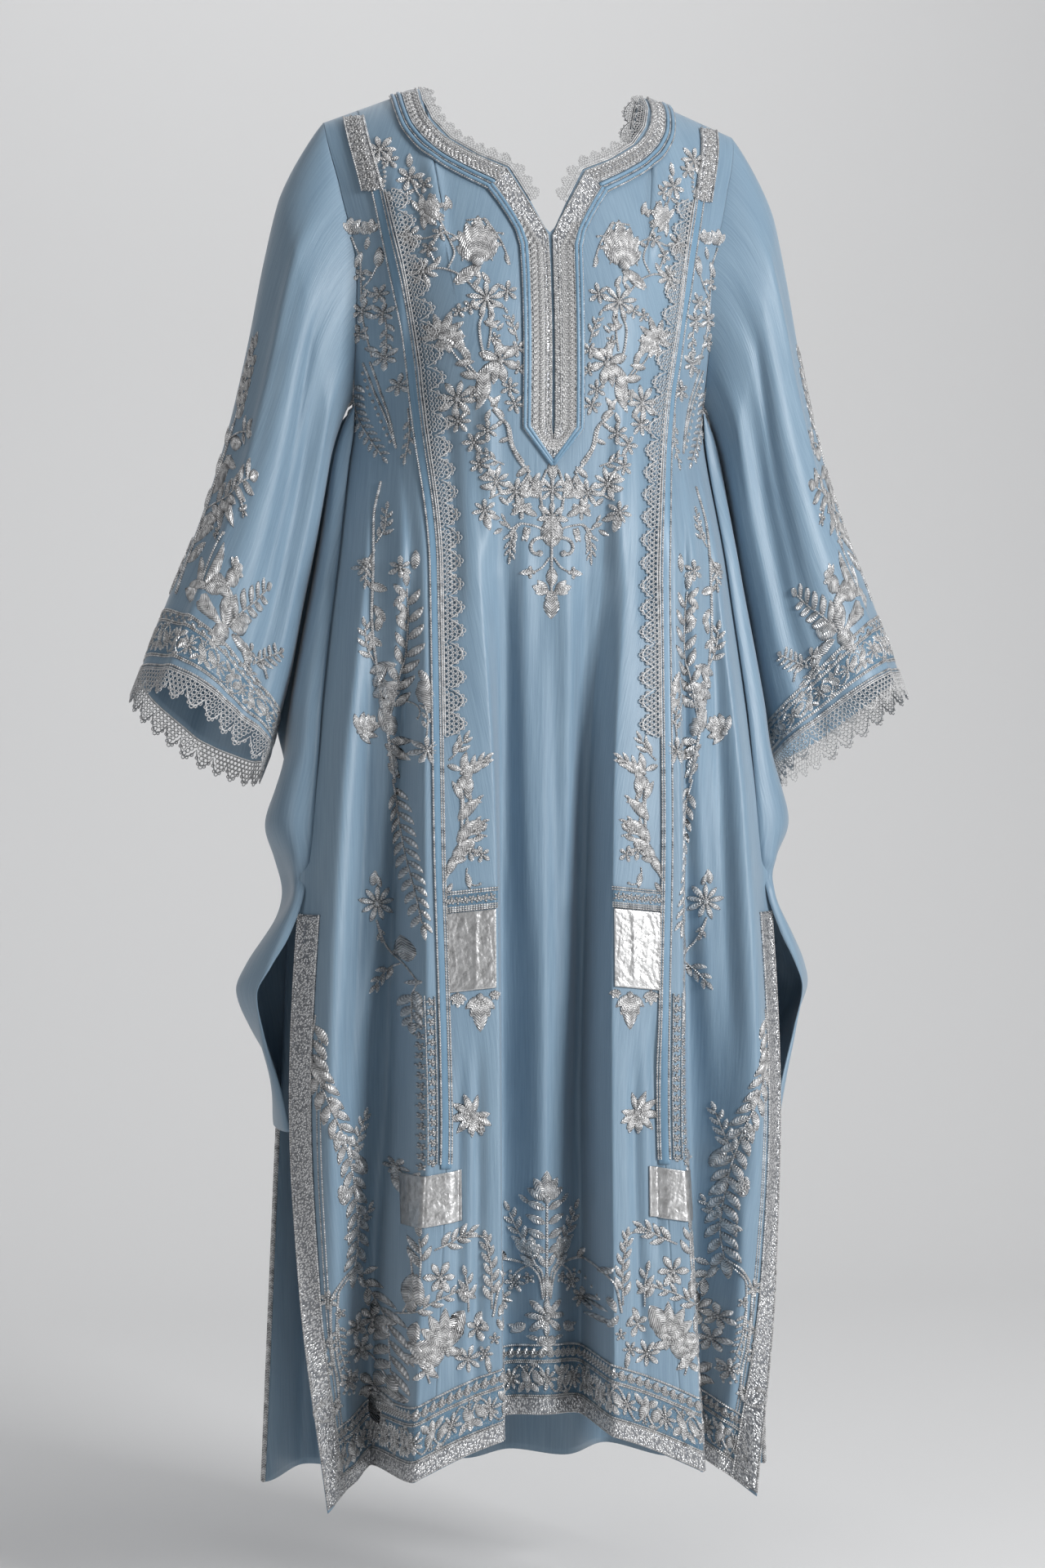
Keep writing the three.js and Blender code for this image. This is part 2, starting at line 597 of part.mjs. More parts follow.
// Neck edge points of a body grid, from the left high point to the right one.
function neckEdge(grid, qs) {
  const half = qs.length - 1;
  const reach = qs.indexOf(HIGH_POINT_LINE);
  return grid.rows[grid.rows.length - 1].slice(half - reach, half + reach + 1);
}

// Finer points along a polyline, evenly spaced.
function spaced(points, count) {
  const lengths = [0];
  points.slice(1).forEach((p, i) => lengths.push(lengths[i] + p.distanceTo(points[i])));
  const whole = lengths[lengths.length - 1];
  return steps(count).map((f) => {
    const at = f * whole;
    let i = 0;
    while (i < points.length - 2 && lengths[i + 1] < at) i++;
    const part = (at - lengths[i]) / (lengths[i + 1] - lengths[i]);
    return points[i].clone().lerp(points[i + 1], part);
  });
}

// Scalloped lace that stands in from a neck edge, towards the middle of the opening.
const NECK_LACE = { low: 5, high: 10, gap: 1, wall: 0.9 };
function neckLace(edge, scallops, facing) {
  const points = spaced(edge, scallops * 2);
  const last = points.length - 1;
  const inner = points.map((p, i) => {
    const along = points[Math.min(i + 1, last)].clone().sub(points[Math.max(i - 1, 0)]);
    const inward = v3(-along.z, 0, along.x).normalize();
    const depth = i % 2 ? NECK_LACE.high : NECK_LACE.low;
    return { root: p.clone().addScaledVector(inward, NECK_LACE.gap), inward, depth };
  });
  const layer = (y) =>
    inner.map((s) => [
      s.root.clone().add(v3(0, y, 0)),
      s.root.clone().addScaledVector(s.inward, s.depth).add(v3(0, y, 0)),
    ]);
  return wall(layer(NECK_LACE.wall * facing), layer(0));
}

// Silver bands of one front half, as points of their inner and outer edges on the front view. The neck
// band runs from the shoulder to the notch, and the placket band from there down the opening to a point.
const EDGE_BAND = { lift: 1.5, thickness: 1 };
const NECK_BAND = [
  { innerX: 98.8, innerZ: -5, outerX: 120.5, outerZ: -12.5 },
  { innerX: 98.8, innerZ: -9, outerX: 120.5, outerZ: -16 },
  { innerX: 98.8, innerZ: -14, outerX: 120.5, outerZ: -20 },
  { innerX: 98.3, innerZ: -21, outerX: 119.5, outerZ: -28 },
  { innerX: 96, innerZ: -31, outerX: 117, outerZ: -40 },
  { innerX: 90, innerZ: -43, outerX: 107, outerZ: -59 },
  { innerX: 81, innerZ: -54, outerX: 93.5, outerZ: -74 },
  { innerX: 69, innerZ: -63, outerX: 79, outerZ: -84 },
  { innerX: 57, innerZ: -70.5, outerX: 66, outerZ: -92 },
  { innerX: 45, innerZ: -76.5, outerX: 57, outerZ: -97 },
  { innerX: 34, innerZ: -81.5, outerX: 50.5, outerZ: -101 },
];
const PLACKET_BAND = [
  { innerX: 32, innerZ: -83, outerX: 49, outerZ: -102.5 },
  { innerX: 24, innerZ: -98, outerX: 43, outerZ: -111 },
  { innerX: 16.5, innerZ: -112, outerX: 35.5, outerZ: -124 },
  { innerX: 4, innerZ: -140, outerX: 24, outerZ: -148 },
  { innerX: 4, innerZ: -194, outerX: 24, outerZ: -194 },
  { innerX: 4, innerZ: -245, outerX: 24, outerZ: -245 },
  { innerX: 4, innerZ: -296, outerX: 24, outerZ: -296 },
  { innerX: 0.4, innerZ: -301, outerX: 0.4, outerZ: -318 },
];
function edgeBand(table, sign) {
  const at = (lift) =>
    table.map((row) =>
      [0, 0.33, 0.67, 1].map((f) =>
        onto(front, sign * mix(row.innerX, row.outerX, f), mix(row.innerZ, row.outerZ, f), lift),
      ),
    );
  return wall(at(EDGE_BAND.lift), at(EDGE_BAND.lift + EDGE_BAND.thickness));
}

// Silver cloth patches and the beaded bands over them: corners on the front view, for the right side.
const PATCHES = [
  { name: "upper_patch", left: 49, right: 88, top: -693, bottom: -757, slant: -4, rows: 3 },
  { name: "upper_patch_heading", left: 49, right: 88.5, top: -677, bottom: -691, slant: -4, rows: 1, lift: 0.8 },
  { name: "lower_patch", left: 77, right: 121, top: -904, bottom: -945, slant: -7, rows: 2 },
];
const PATCH = { lift: 1.9, thickness: 1.1 };
function patch(spec, sign) {
  const xs = steps(8).map((f) => mix(spec.left, spec.right, f));
  const heights = steps(spec.rows).map((f) => mix(spec.top, spec.bottom, f));
  const at = (lift) =>
    heights.map((z) =>
      xs.map((x) => {
        const slope = (spec.slant * (x - spec.left)) / (spec.right - spec.left);
        return onto(front, sign * x, z + slope, lift);
      }),
    );
  return wall(at((spec.lift ?? PATCH.lift)), at((spec.lift ?? PATCH.lift) + PATCH.thickness));
}

// Scalloped lace that hangs from a cuff ring, in the direction the sleeve runs.
const CUFF_SCALLOPS = 26;
function cuffLace(sleeve) {
  const end = sleeve.rows.length - 1;
  const ring = (rows) => spaced([...rows, rows[0]], CUFF_SCALLOPS * 2).slice(0, -1);
  const edge = ring(sleeve.rows[end]);
  const before = ring(sleeve.rows[end - 1]);
  const normals = ring(sleeve.normals[end]);
  const along = edge.map((p, i) => p.clone().sub(before[i]).normalize());
  const layer = (inset) =>
    [0, 1].map((tip) =>
      edge.map((p, i) => {
        const drop = tip ? CUFF_LACE_DROP * (i % 2 ? 1 : 0.66) : SEAM;
        return p.clone().addScaledVector(along[i], drop).addScaledVector(normals[i], -inset);
      }),
    );
  return wall(layer(LACE_WALL + 0.2), layer(0.2), true);
}

// Raised embroidery: each spray is one leafy strip along its stem, wide at its leaves and narrow between
// them, with a ridge down its middle. Stems are points on the front view, for the right side.
const SPRAY = { lift: 1.7, edge: 0.9, ridge: 1.9, narrow: 2.5 };
const CHEST_STEM = [[101, -96], [81, -130], [82, -165], [60, -206], [56, -249], [46, -284], [28, -330]];
const UNDERARM_STEM = [[144, -126], [136, -190], [131, -258]];
const WAIST_STEM = [[124, -344], [133, -400], [139, -470], [136, -560]];
const HIP_STEM = [[122, -588], [118, -660], [116, -750]];
const PRINCESS_STEM = [[83, -562], [73, -600], [66, -632], [71, -664]];
const SLIT_STEM = [[181, -792], [178, -880], [175, -950], [169, -1020]];
const TUBE_STEM = [[84, -950], [80, -1000], [84, -1045], [80, -1092]];
const SLEEVE_STEM = [[213, -186], [224, -240], [240, -310], [256, -372], [276, -424]];
const PAIRED_SPRAYS = [
  { name: "chest_spray", stem: CHEST_STEM, leaves: 8, leaf: 10 },
  { name: "underarm_spray", stem: UNDERARM_STEM, leaves: 5, leaf: 7, lift: 0.9 },
  { name: "waist_spray", stem: WAIST_STEM, leaves: 8, leaf: 12, lift: 2 },
  { name: "hip_spray", stem: HIP_STEM, leaves: 5, leaf: 7, lift: 0.8 },
  { name: "princess_spray", stem: PRINCESS_STEM, leaves: 4, leaf: 8, lift: 0.7 },
  { name: "slit_spray", stem: SLIT_STEM, leaves: 8, leaf: 7, lift: 3.5 },
  { name: "tube_spray", stem: TUBE_STEM, leaves: 5, leaf: 11 },
];
const MIDDLE_SPRAYS = [
  { name: "pendant_spray", stem: [[0, -328], [0, -452]], leaves: 5, leaf: 13, lift: 0.5 },
  { name: "hem_spray", stem: [[0, -908], [0, -1052]], leaves: 5, leaf: 12, lift: 0.4 },
];
const SLEEVE_SPRAY = { name: "sleeve_spray", stem: SLEEVE_STEM, leaves: 7, leaf: 8 };
function spray(grid, { stem, leaves, leaf, lift = SPRAY.lift }, sign) {
  const points = stem.map(([x, z]) => v3(sign * x, 0, z));
  const path = spaced(points, leaves * 2).map((p, i) => {
    const half = i % 2 ? leaf : SPRAY.narrow;
    return { x: p.x, z: p.z, offsets: [-half, 0, half] };
  });
  const at = alongPath(grid, path, null);
  const ridge = at(lift + SPRAY.ridge);
  const high = at(lift + SPRAY.edge).map((row, i) => [row[0], ridge[i][1], row[2]]);
  return wall(at(lift), high);
}

const meshes = [];
const SILVER = { color: 0xb4b1b0, roughness: 0.45, metalness: 0.6 };
const FINISHES = {
  silk: { color: 0x6d98bb, roughness: 0.55, metalness: 0 },
  border: { color: 0x7f9db3, roughness: 0.5, metalness: 0.25 },
  zari: SILVER,
  foil: { color: 0xbdbbba, roughness: 0.3, metalness: 0.85 },
  lace: { color: 0xb9b6b4, roughness: 0.7, metalness: 0.2 },
  relief: SILVER,
};
function add(name, geometry, finish) {
  const material = new THREE.MeshStandardMaterial({ name: finish, ...FINISHES[finish] });
  const mesh = new THREE.Mesh(geometry, material);
  mesh.name = name;
  meshes.push(mesh);
}

// Assembly

add("front_side_left", cloth(frontPanel(0, HALF_FRONT - PRINCESS)), "silk");
add("front_centre", cloth(frontPanel(HALF_FRONT - PRINCESS, HALF_FRONT + PRINCESS)), "silk");
add("front_side_right", cloth(frontPanel(HALF_FRONT + PRINCESS, FRONT_LAST)), "silk");
add("back", cloth(back), "silk");

const edged = (grid, rows, columns) => trim(cut(grid, rows, columns), BORDER_LIFT, BORDER_WALL);
const drape = drapeGrid();
const sleeve = sleeveGrid();
for (const { side, sign } of MIRROR) {
  add(`side_drape_${side}`, cloth(turned(drape, sign)), "silk");
  const ownSleeve = turned(sleeve, sign);
  add(`sleeve_${side}`, cloth(ownSleeve), "silk");
  const cuffRows = {
    ...ownSleeve,
    rows: ownSleeve.rows.slice(CUFF_BAND_ROW),
    normals: ownSleeve.normals.slice(CUFF_BAND_ROW),
  };
  add(`cuff_band_${side}`, trim(cuffRows, BORDER_LIFT, BORDER_WALL), "border");
  add(`cuff_lace_${side}`, cuffLace(ownSleeve), "lace");
  add(`princess_lace_${side}`, princessLace(sign), "lace");
  add(`shoulder_band_${side}`, shoulderBand(sign), "zari");
  add(`princess_piping_${side}`, princessPiping(sign), "zari");
  add(`neck_band_${side}`, edgeBand(NECK_BAND, sign), "zari");
  add(`placket_${side}`, edgeBand(PLACKET_BAND, sign), "zari");
  add(`sleeve_spray_${side}`, spray(ownSleeve, SLEEVE_SPRAY, sign), "relief");
  for (const spec of PAIRED_SPRAYS) add(`${spec.name}_${side}`, spray(front, spec, sign), "relief");
  for (const spec of PATCHES) {
    const finish = spec.name.endsWith("heading") ? "border" : "foil";
    add(`${spec.name}_${side}`, patch(spec, sign), finish);
  }
  const frontEdge = sign < 0 ? [0, 1] : [FRONT_LAST - 1, FRONT_LAST];
  const backEdge = sign < 0 ? [0, 1] : [BACK_LAST - 1, BACK_LAST];
  add(`front_slit_band_${side}`, edged(front, [0, SLIT_ROW + 2], frontEdge), "zari");
  add(`back_slit_band_${side}`, edged(back, [0, SLIT_ROW], backEdge), "zari");
}
for (const spec of MIDDLE_SPRAYS) add(spec.name, spray(front, spec, 1), "relief");
const frontInside = [1, FRONT_LAST - 1];
const backInside = [1, BACK_LAST - 1];
add("front_hem_zari", edged(front, [0, 1], frontInside), "zari");
add("front_hem_border", edged(front, [1, 2], frontInside), "border");
add("back_hem_zari", edged(back, [0, 1], backInside), "zari");
add("back_hem_border", edged(back, [1, 2], backInside), "border");

const frontNeck = neckEdge(front, FRONT_QS);
const middle = (frontNeck.length - 1) / 2;
add("neck_lace_left", neckLace(frontNeck.slice(0, middle), 12, -1), "lace");
add("neck_lace_right", neckLace(frontNeck.slice(middle + 1), 12, -1), "lace");
add("neck_lace_back", neckLace(neckEdge(back, BACK_QS), 24, 1), "lace");

const kurti = new THREE.Group();
kurti.add(...meshes);
export default kurti;
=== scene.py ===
"""Kaftan kurti: a long side-draped tunic of crinkled silk with silver bands, lace and raised embroidery.

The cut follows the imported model: the same fold lines, neck, sleeves and side drapes, drawn finely.
Pattern measures are in millimetres, as a cutter writes them, and MM turns them to metres.
The front faces -Y, +Z is up, and the origin lies between the high points of the shoulders.
"""

import logging
import math
from dataclasses import dataclass, field
from enum import Enum
from typing import Callable, Protocol, Sequence

import bpy
import numpy as np
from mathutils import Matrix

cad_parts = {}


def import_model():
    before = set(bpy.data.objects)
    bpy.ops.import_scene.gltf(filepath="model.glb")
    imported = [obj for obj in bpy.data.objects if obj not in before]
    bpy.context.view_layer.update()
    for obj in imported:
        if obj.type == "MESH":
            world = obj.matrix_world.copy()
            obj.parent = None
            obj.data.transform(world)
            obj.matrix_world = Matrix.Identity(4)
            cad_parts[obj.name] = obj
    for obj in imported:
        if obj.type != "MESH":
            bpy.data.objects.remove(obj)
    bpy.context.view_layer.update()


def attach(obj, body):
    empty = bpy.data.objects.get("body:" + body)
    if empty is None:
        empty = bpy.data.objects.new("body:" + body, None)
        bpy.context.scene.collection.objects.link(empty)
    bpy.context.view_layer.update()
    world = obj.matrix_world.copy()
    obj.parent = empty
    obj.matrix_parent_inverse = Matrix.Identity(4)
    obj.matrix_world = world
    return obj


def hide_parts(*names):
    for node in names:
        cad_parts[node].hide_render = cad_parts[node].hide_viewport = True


LOG = logging.getLogger("kurti")
Array = np.ndarray
Socket = bpy.types.NodeSocket
Material = bpy.types.Material
Piece = bpy.types.Object
Inputs = bpy.types.bpy_prop_collection
Row = tuple[float, ...]
Triple = tuple[float, float, float]
Path = tuple[tuple[float, float], ...]
MeshData = tuple[Array, Array, list[Array]]
frozen = dataclass(frozen=True)
MM = 0.001

CLOTH = 1.4
CHEST_Z = -265.0
CHEST_DEPTH = 118.0
BACK_DEPTH = 90.0
NECK_HALF = 97.0
NECK_POINT_Z = -137.0
BACK_NECK_Z = -131.0
TIP_X = 177.0
TIP_Z = -31.0
ARCH_POWER = 2.6
BORDER_HEIGHT = 58.0
ZARI_HEIGHT = 14.0
HELD_SHARE = 0.35
SLEEVE_LENGTH = 505.0
SEWN_GAP = 2.4
STEP = 0.8
WELD_REACH = 0.05
SHEEN_ROUGHNESS = 0.45

FRONT_LEVELS = (0, -31, -95, -165, -265, -420, -620, -860, -1010, -1192)
FRONT_WIDTHS = {
    "centre": (0, 0, 0, 0, 0, 0, 0, 0, 0, 0),
    "dip": (45, 45, 45, 46, 47, 42, 36, 33, 33, 34),
    "crest_in": (97, 96, 91, 84, 75, 62, 50, 47, 47, 47),
    "crest_out": (150, 149, 137, 124, 108, 96, 95, 90, 96, 108),
    "valley": (158, 158, 147, 134, 123, 118, 124, 130, 138, 142),
    "ridge": (168, 168, 156, 144, 139, 148, 168, 178, 174, 157),
    "edge": (177, 177, 165, 152, 152, 171, 197, 210, 203, 181),
}
FRONT_DEPTH_LEVELS = (-420, -620, -860, -1192)
FRONT_DEPTHS = {
    "centre": (112, 99, 93, 87),
    "dip": (106, 78, 64, 64),
    "crest_in": (118, 126, 134, 150),
    "crest_out": (107, 122, 131, 151),
    "valley": (92, 64, 50, 26),
    "ridge": (72, 82, 89, 50),
    "edge": (26, 42, 46, 80),
}
BACK_LEVELS = (0, -31, -95, -165, -265, -420, -620, -880, -1192)
BACK_WIDTHS = {
    "centre": (0, 0, 0, 0, 0, 0, 0, 0, 0),
    "inner": (48, 48, 48, 46, 42, 40, 42, 44, 44),
    "crest": (97, 96, 91, 84, 78, 76, 84, 90, 92),
    "valley": (133, 133, 122, 114, 108, 110, 122, 132, 138),
    "ridge": (157, 157, 145, 134, 132, 144, 163, 176, 184),
    "edge": (177, 177, 165, 152, 152, 171, 198, 210, 222),
}
BACK_DEPTH_LEVELS = (-420, -620, -880, -1192)
BACK_DEPTHS = {
    "centre": (96, 98, 101, 106),
    "inner": (92, 85, 79, 76),
    "crest": (93, 105, 117, 128),
    "valley": (82, 76, 72, 74),
    "ridge": (68, 86, 100, 112),
    "edge": (26, 44, 52, 64),
}
ARMHOLE = {"z": (-265, -245, -200, -150, -31), "depth": (3, 15, 34, 44, 46)}
FRONT_NECK = {
    "z": (-137, -133, -110, -80, -69, -54, -36, -16, 0),
    "half": (0, 4, 15, 31, 56, 78, 91, 97, 97),
}
BACK_NECK = {"z": (-131, -128, -116, -95, -70, -42, 0), "half": (0, 22, 50, 74, 89, 97, 97)}
DRAPE_LEVELS = (
    -272, -292, -320, -356, -410, -479, -523, -562, -596, -630, -655, -682,
    -718, -745, -768, -800, -840, -882,
)
DRAPE = {
    "front_x": (149, 150, 154, 159, 166, 175, 180, 184, 188, 191, 194, 200, 213, 228, 238, 232, 220, 208),
    "free": (0, 0, 0, 0, 0, 0, 0, 0, 0, 0, 0, 0.5, 1, 1, 1, 1, 1, 1),
    "depth": (0, 0, 0, 0, 0, 0, 0, 0, 0, 0, 0, 50, 47, 38, 24, 20, 28, 37),
    "out_x": (153, 162, 169, 175, 184, 197, 204.5, 210, 218, 227, 222, 217, 228, 238, 245, 240, 227, 218),
    "back_x": (149, 150, 154, 159, 166, 175, 181, 185, 189, 193, 195, 196, 198, 199, 200, 200, 201, 200),
}
SLEEVE_STATIONS = (0, 0.08, 0.18, 0.32, 0.48, 0.64, 0.78, 0.88, 1)
SLEEVE = {
    "out_x": (177, 199, 213, 227, 240, 259, 283, 306, 331),
    "out_z": (-31, -60, -92, -150, -218, -300, -376, -432, -498),
    "in_x": (152, 162, 169, 176, 184, 194, 203, 211, 221),
    "in_z": (-265, -282, -309, -350, -397, -447, -497, -530, -567),
    "half": (40, 47, 51, 53, 54, 56, 58, 60, 63),
    "back": (0, 2, 5, 9, 12, 14, 15, 16, 16),
    "rise": (0, 0, 0, 2, 5, 9, 13, 16, 20),
}


class Side(Enum):
    """Which half of the garment, as the viewer sees it."""

    LEFT = -1
    RIGHT = 1

    @property
    def tag(self) -> str:
        """The word used in the names of nodes."""
        return self.name.lower()

    @property
    def sign(self) -> float:
        """-1 for the viewer's left, 1 for the right."""
        return float(self.value)


# Small maths


def mix(a: Array | float, b: Array | float, f: Array | float) -> Array | float:
    """Straight blend from a to b by f."""
    return a + (b - a) * f


def ease(f: Array | float) -> Array:
    """Smooth step: three f squared minus two f cubed, held between 0 and 1."""
    c = np.clip(f, 0, 1)
    return c * c * (3 - 2 * c)


def unit(v: Array) -> Array:
    """Vectors along the last axis, scaled to length one."""
    return v / np.maximum(np.linalg.norm(v, axis=-1, keepdims=True), 1e-12)


def pair(a: Array | float, b: Array | float) -> Sequence[Array]:
    """Two chart coordinates as float arrays of one shape."""
    return np.broadcast_arrays(np.asarray(a, float), np.asarray(b, float))


def running(points: Array) -> Array:
    """Length run along a polyline at each of its points."""
    return np.concatenate([[0.0], np.cumsum(np.linalg.norm(np.diff(points, axis=0), axis=1))])


def walk(points: Array, run: Array, at: Array | float) -> Array:
    """Points of a polyline at running lengths."""
    return np.stack([np.interp(at, run, column) for column in np.transpose(points)], -1)


@frozen
class Curve:
    """A smooth monotone cubic through the rows of a table."""

    keys: Row
    values: Row

    def __call__(self, at: Array | float) -> Array:
        """Evaluate the curve.

        Args:
            at: keys to look up, clipped to the table's range.

        Returns:
            The straight blend between two rows plus a cubic bend that gives each row the harmonic mean
            of the slopes on its two sides.
        """
        order = np.argsort(self.keys)
        xs = np.asarray(self.keys, float)[order]
        ys = np.asarray(self.values, float)[order]
        slopes = np.diff(ys) / np.diff(xs)
        same_way = slopes[:-1] * slopes[1:] > 0
        total = np.where(same_way, slopes[:-1] + slopes[1:], 1)
        inner = np.where(same_way, 2 * slopes[:-1] * slopes[1:] / total, 0)
        tangents = np.concatenate([slopes[:1], inner, slopes[-1:]])
        clipped = np.clip(at, xs[0], xs[-1])
        i = np.clip(np.searchsorted(xs, clipped, side="right") - 1, 0, len(xs) - 2)
        step = xs[i + 1] - xs[i]
        rise = ys[i + 1] - ys[i]
        f = (clipped - xs[i]) / step
        bend = (tangents[i] * step - rise) * (1 - f) - (tangents[i + 1] * step - rise) * f
        return ys[i] + rise * f + f * (1 - f) * bend


@frozen
class Crease:
    """A soft trough or ridge that runs from one point of the front view to another.

    Depth is positive for a ridge. Bow is how far its middle swings in x.
    """

    x0: float
    z0: float
    x1: float
    z1: float
    bow: float
    width: float
    depth: float

    def lift(self, x: Array, z: Array) -> Array:
        """Height added at (x, z): a bell across the crease that fades in and out along it."""
        t = (z - self.z0) / (self.z1 - self.z0)
        centre = self.x0 + (self.x1 - self.x0) * t + 4 * self.bow * t * (1 - t)
        fade = ease(t / 0.25) * ease((1 - t) / 0.25)
        return self.depth * np.exp(-(((x - centre) / self.width) ** 2)) * fade


FRONT_CREASES = tuple(Crease(*row) for row in (
    (-22, -335, -14, -760, -3, 9, 5.6), (10, -345, 22, -880, 4, 10, 6.3), (31, -360, 30, -980, -2, 7, -4.5),
    (-38, -380, -27, -700, 2, 6, -3.9), (2, -420, 4, -1060, 3, 8, -4.2),
    (-118, -300, -146, -820, 4, 8, 7.9), (120, -300, 150, -900, -4, 8, 7.4),
    (-140, -420, -168, -900, 2, 7, -7), (140, -380, 164, -860, 2, 7, -7),
    (-128, -860, -133, -1160, 2, 8, 7), (166, -900, 158, -1150, 2, 8, 7),
    (-64, -780, -70, -1110, 3, 5, -4.5), (-78, -800, -86, -1090, 2, 5, -3.9),
    (66, -790, 74, -1100, -3, 5, -4.5), (80, -770, 84, -1000, 2, 5, -3.5), (-99, -60, -92, -170, 3, 7, 5.2),
    (101, -55, 93, -165, -3, 7, 5.2), (-128, -62, -121, -260, 3, 6, 3.9),
    (126, -70, 119, -250, -3, 6, -3.5), (-56, -255, -52, -420, 2, 7, 5.2), (60, -262, 55, -440, -2, 7, 5.2),
    (-84, -270, -78, -470, 1, 6, -4.2), (86, -285, 79, -480, 1, 6, -4.2),
))
BACK_CREASES = tuple(Crease(*row) for row in (
    (-20, -150, -26, -700, 5, 10, 5.2), (16, -170, 30, -760, -4, 9, -5.2),
    (-66, -160, -80, -520, 3, 9, -6.1), (70, -180, 84, -560, -3, 9, 6.1),
    (-120, -210, -150, -640, -4, 9, 7), (118, -200, 150, -620, 4, 9, -7), (0, -620, 6, -1180, 4, 9, -7),
    (-110, -700, -118, -1160, 2, 9, -5.2), (112, -720, 116, -1170, 2, 9, -5.2),
    (-30, -820, -24, -1180, 2, 7, 5.2),
))


class Chart:
    """A face of the garment that trims can be laid on. outward turns its normals out of the garment."""

    outward: float

    def place(self, a: Array, b: Array) -> Array:
        """Points of the face, in millimetres, for chart coordinates a and b."""
        raise NotImplementedError

    def normal(self, a: Array, b: Array) -> Array:
        """Outward unit normals: the cross product of the two tangents, found by small steps."""
        a, b = pair(a, b)
        across = self.place(a + STEP, b) - self.place(a - STEP, b)
        along = self.place(a, b + STEP) - self.place(a, b - STEP)
        return unit(np.cross(across, along)) * self.outward


class Bent(Chart):
    """A chart laid over another, below: view turns its coordinates into those of the one below."""

    below: Chart

    def view(self, a: Array, b: Array) -> tuple[Array, Array]:
        """Coordinates on the chart below."""
        raise NotImplementedError

    def place(self, a: Array, b: Array) -> Array:
        """Points of the chart below."""
        return self.below.place(*self.view(*pair(a, b)))

    def normal(self, a: Array, b: Array) -> Array:
        """Outward normals of the chart below."""
        return self.below.normal(*self.view(*pair(a, b)))


def shoulder_z(x: Array) -> Array:
    """Height of the shoulder seam: level to the neck, then a straight fall to the tip."""
    return np.where(np.abs(x) < NECK_HALF, 0.0, TIP_Z * (np.abs(x) - NECK_HALF) / (TIP_X - NECK_HALF))


def around(rows: Array, q: Array) -> tuple[Array, Array, Array]:
    """The number of the row before each q, and the values of that row and the next."""
    k = np.clip(np.floor(q).astype(int), 0, len(rows) - 2)
    return k, *(np.take_along_axis(rows, k[None] + n, 0)[0] for n in (0, 1))


ARMHOLE_DEPTH = Curve(ARMHOLE["z"], ARMHOLE["depth"])


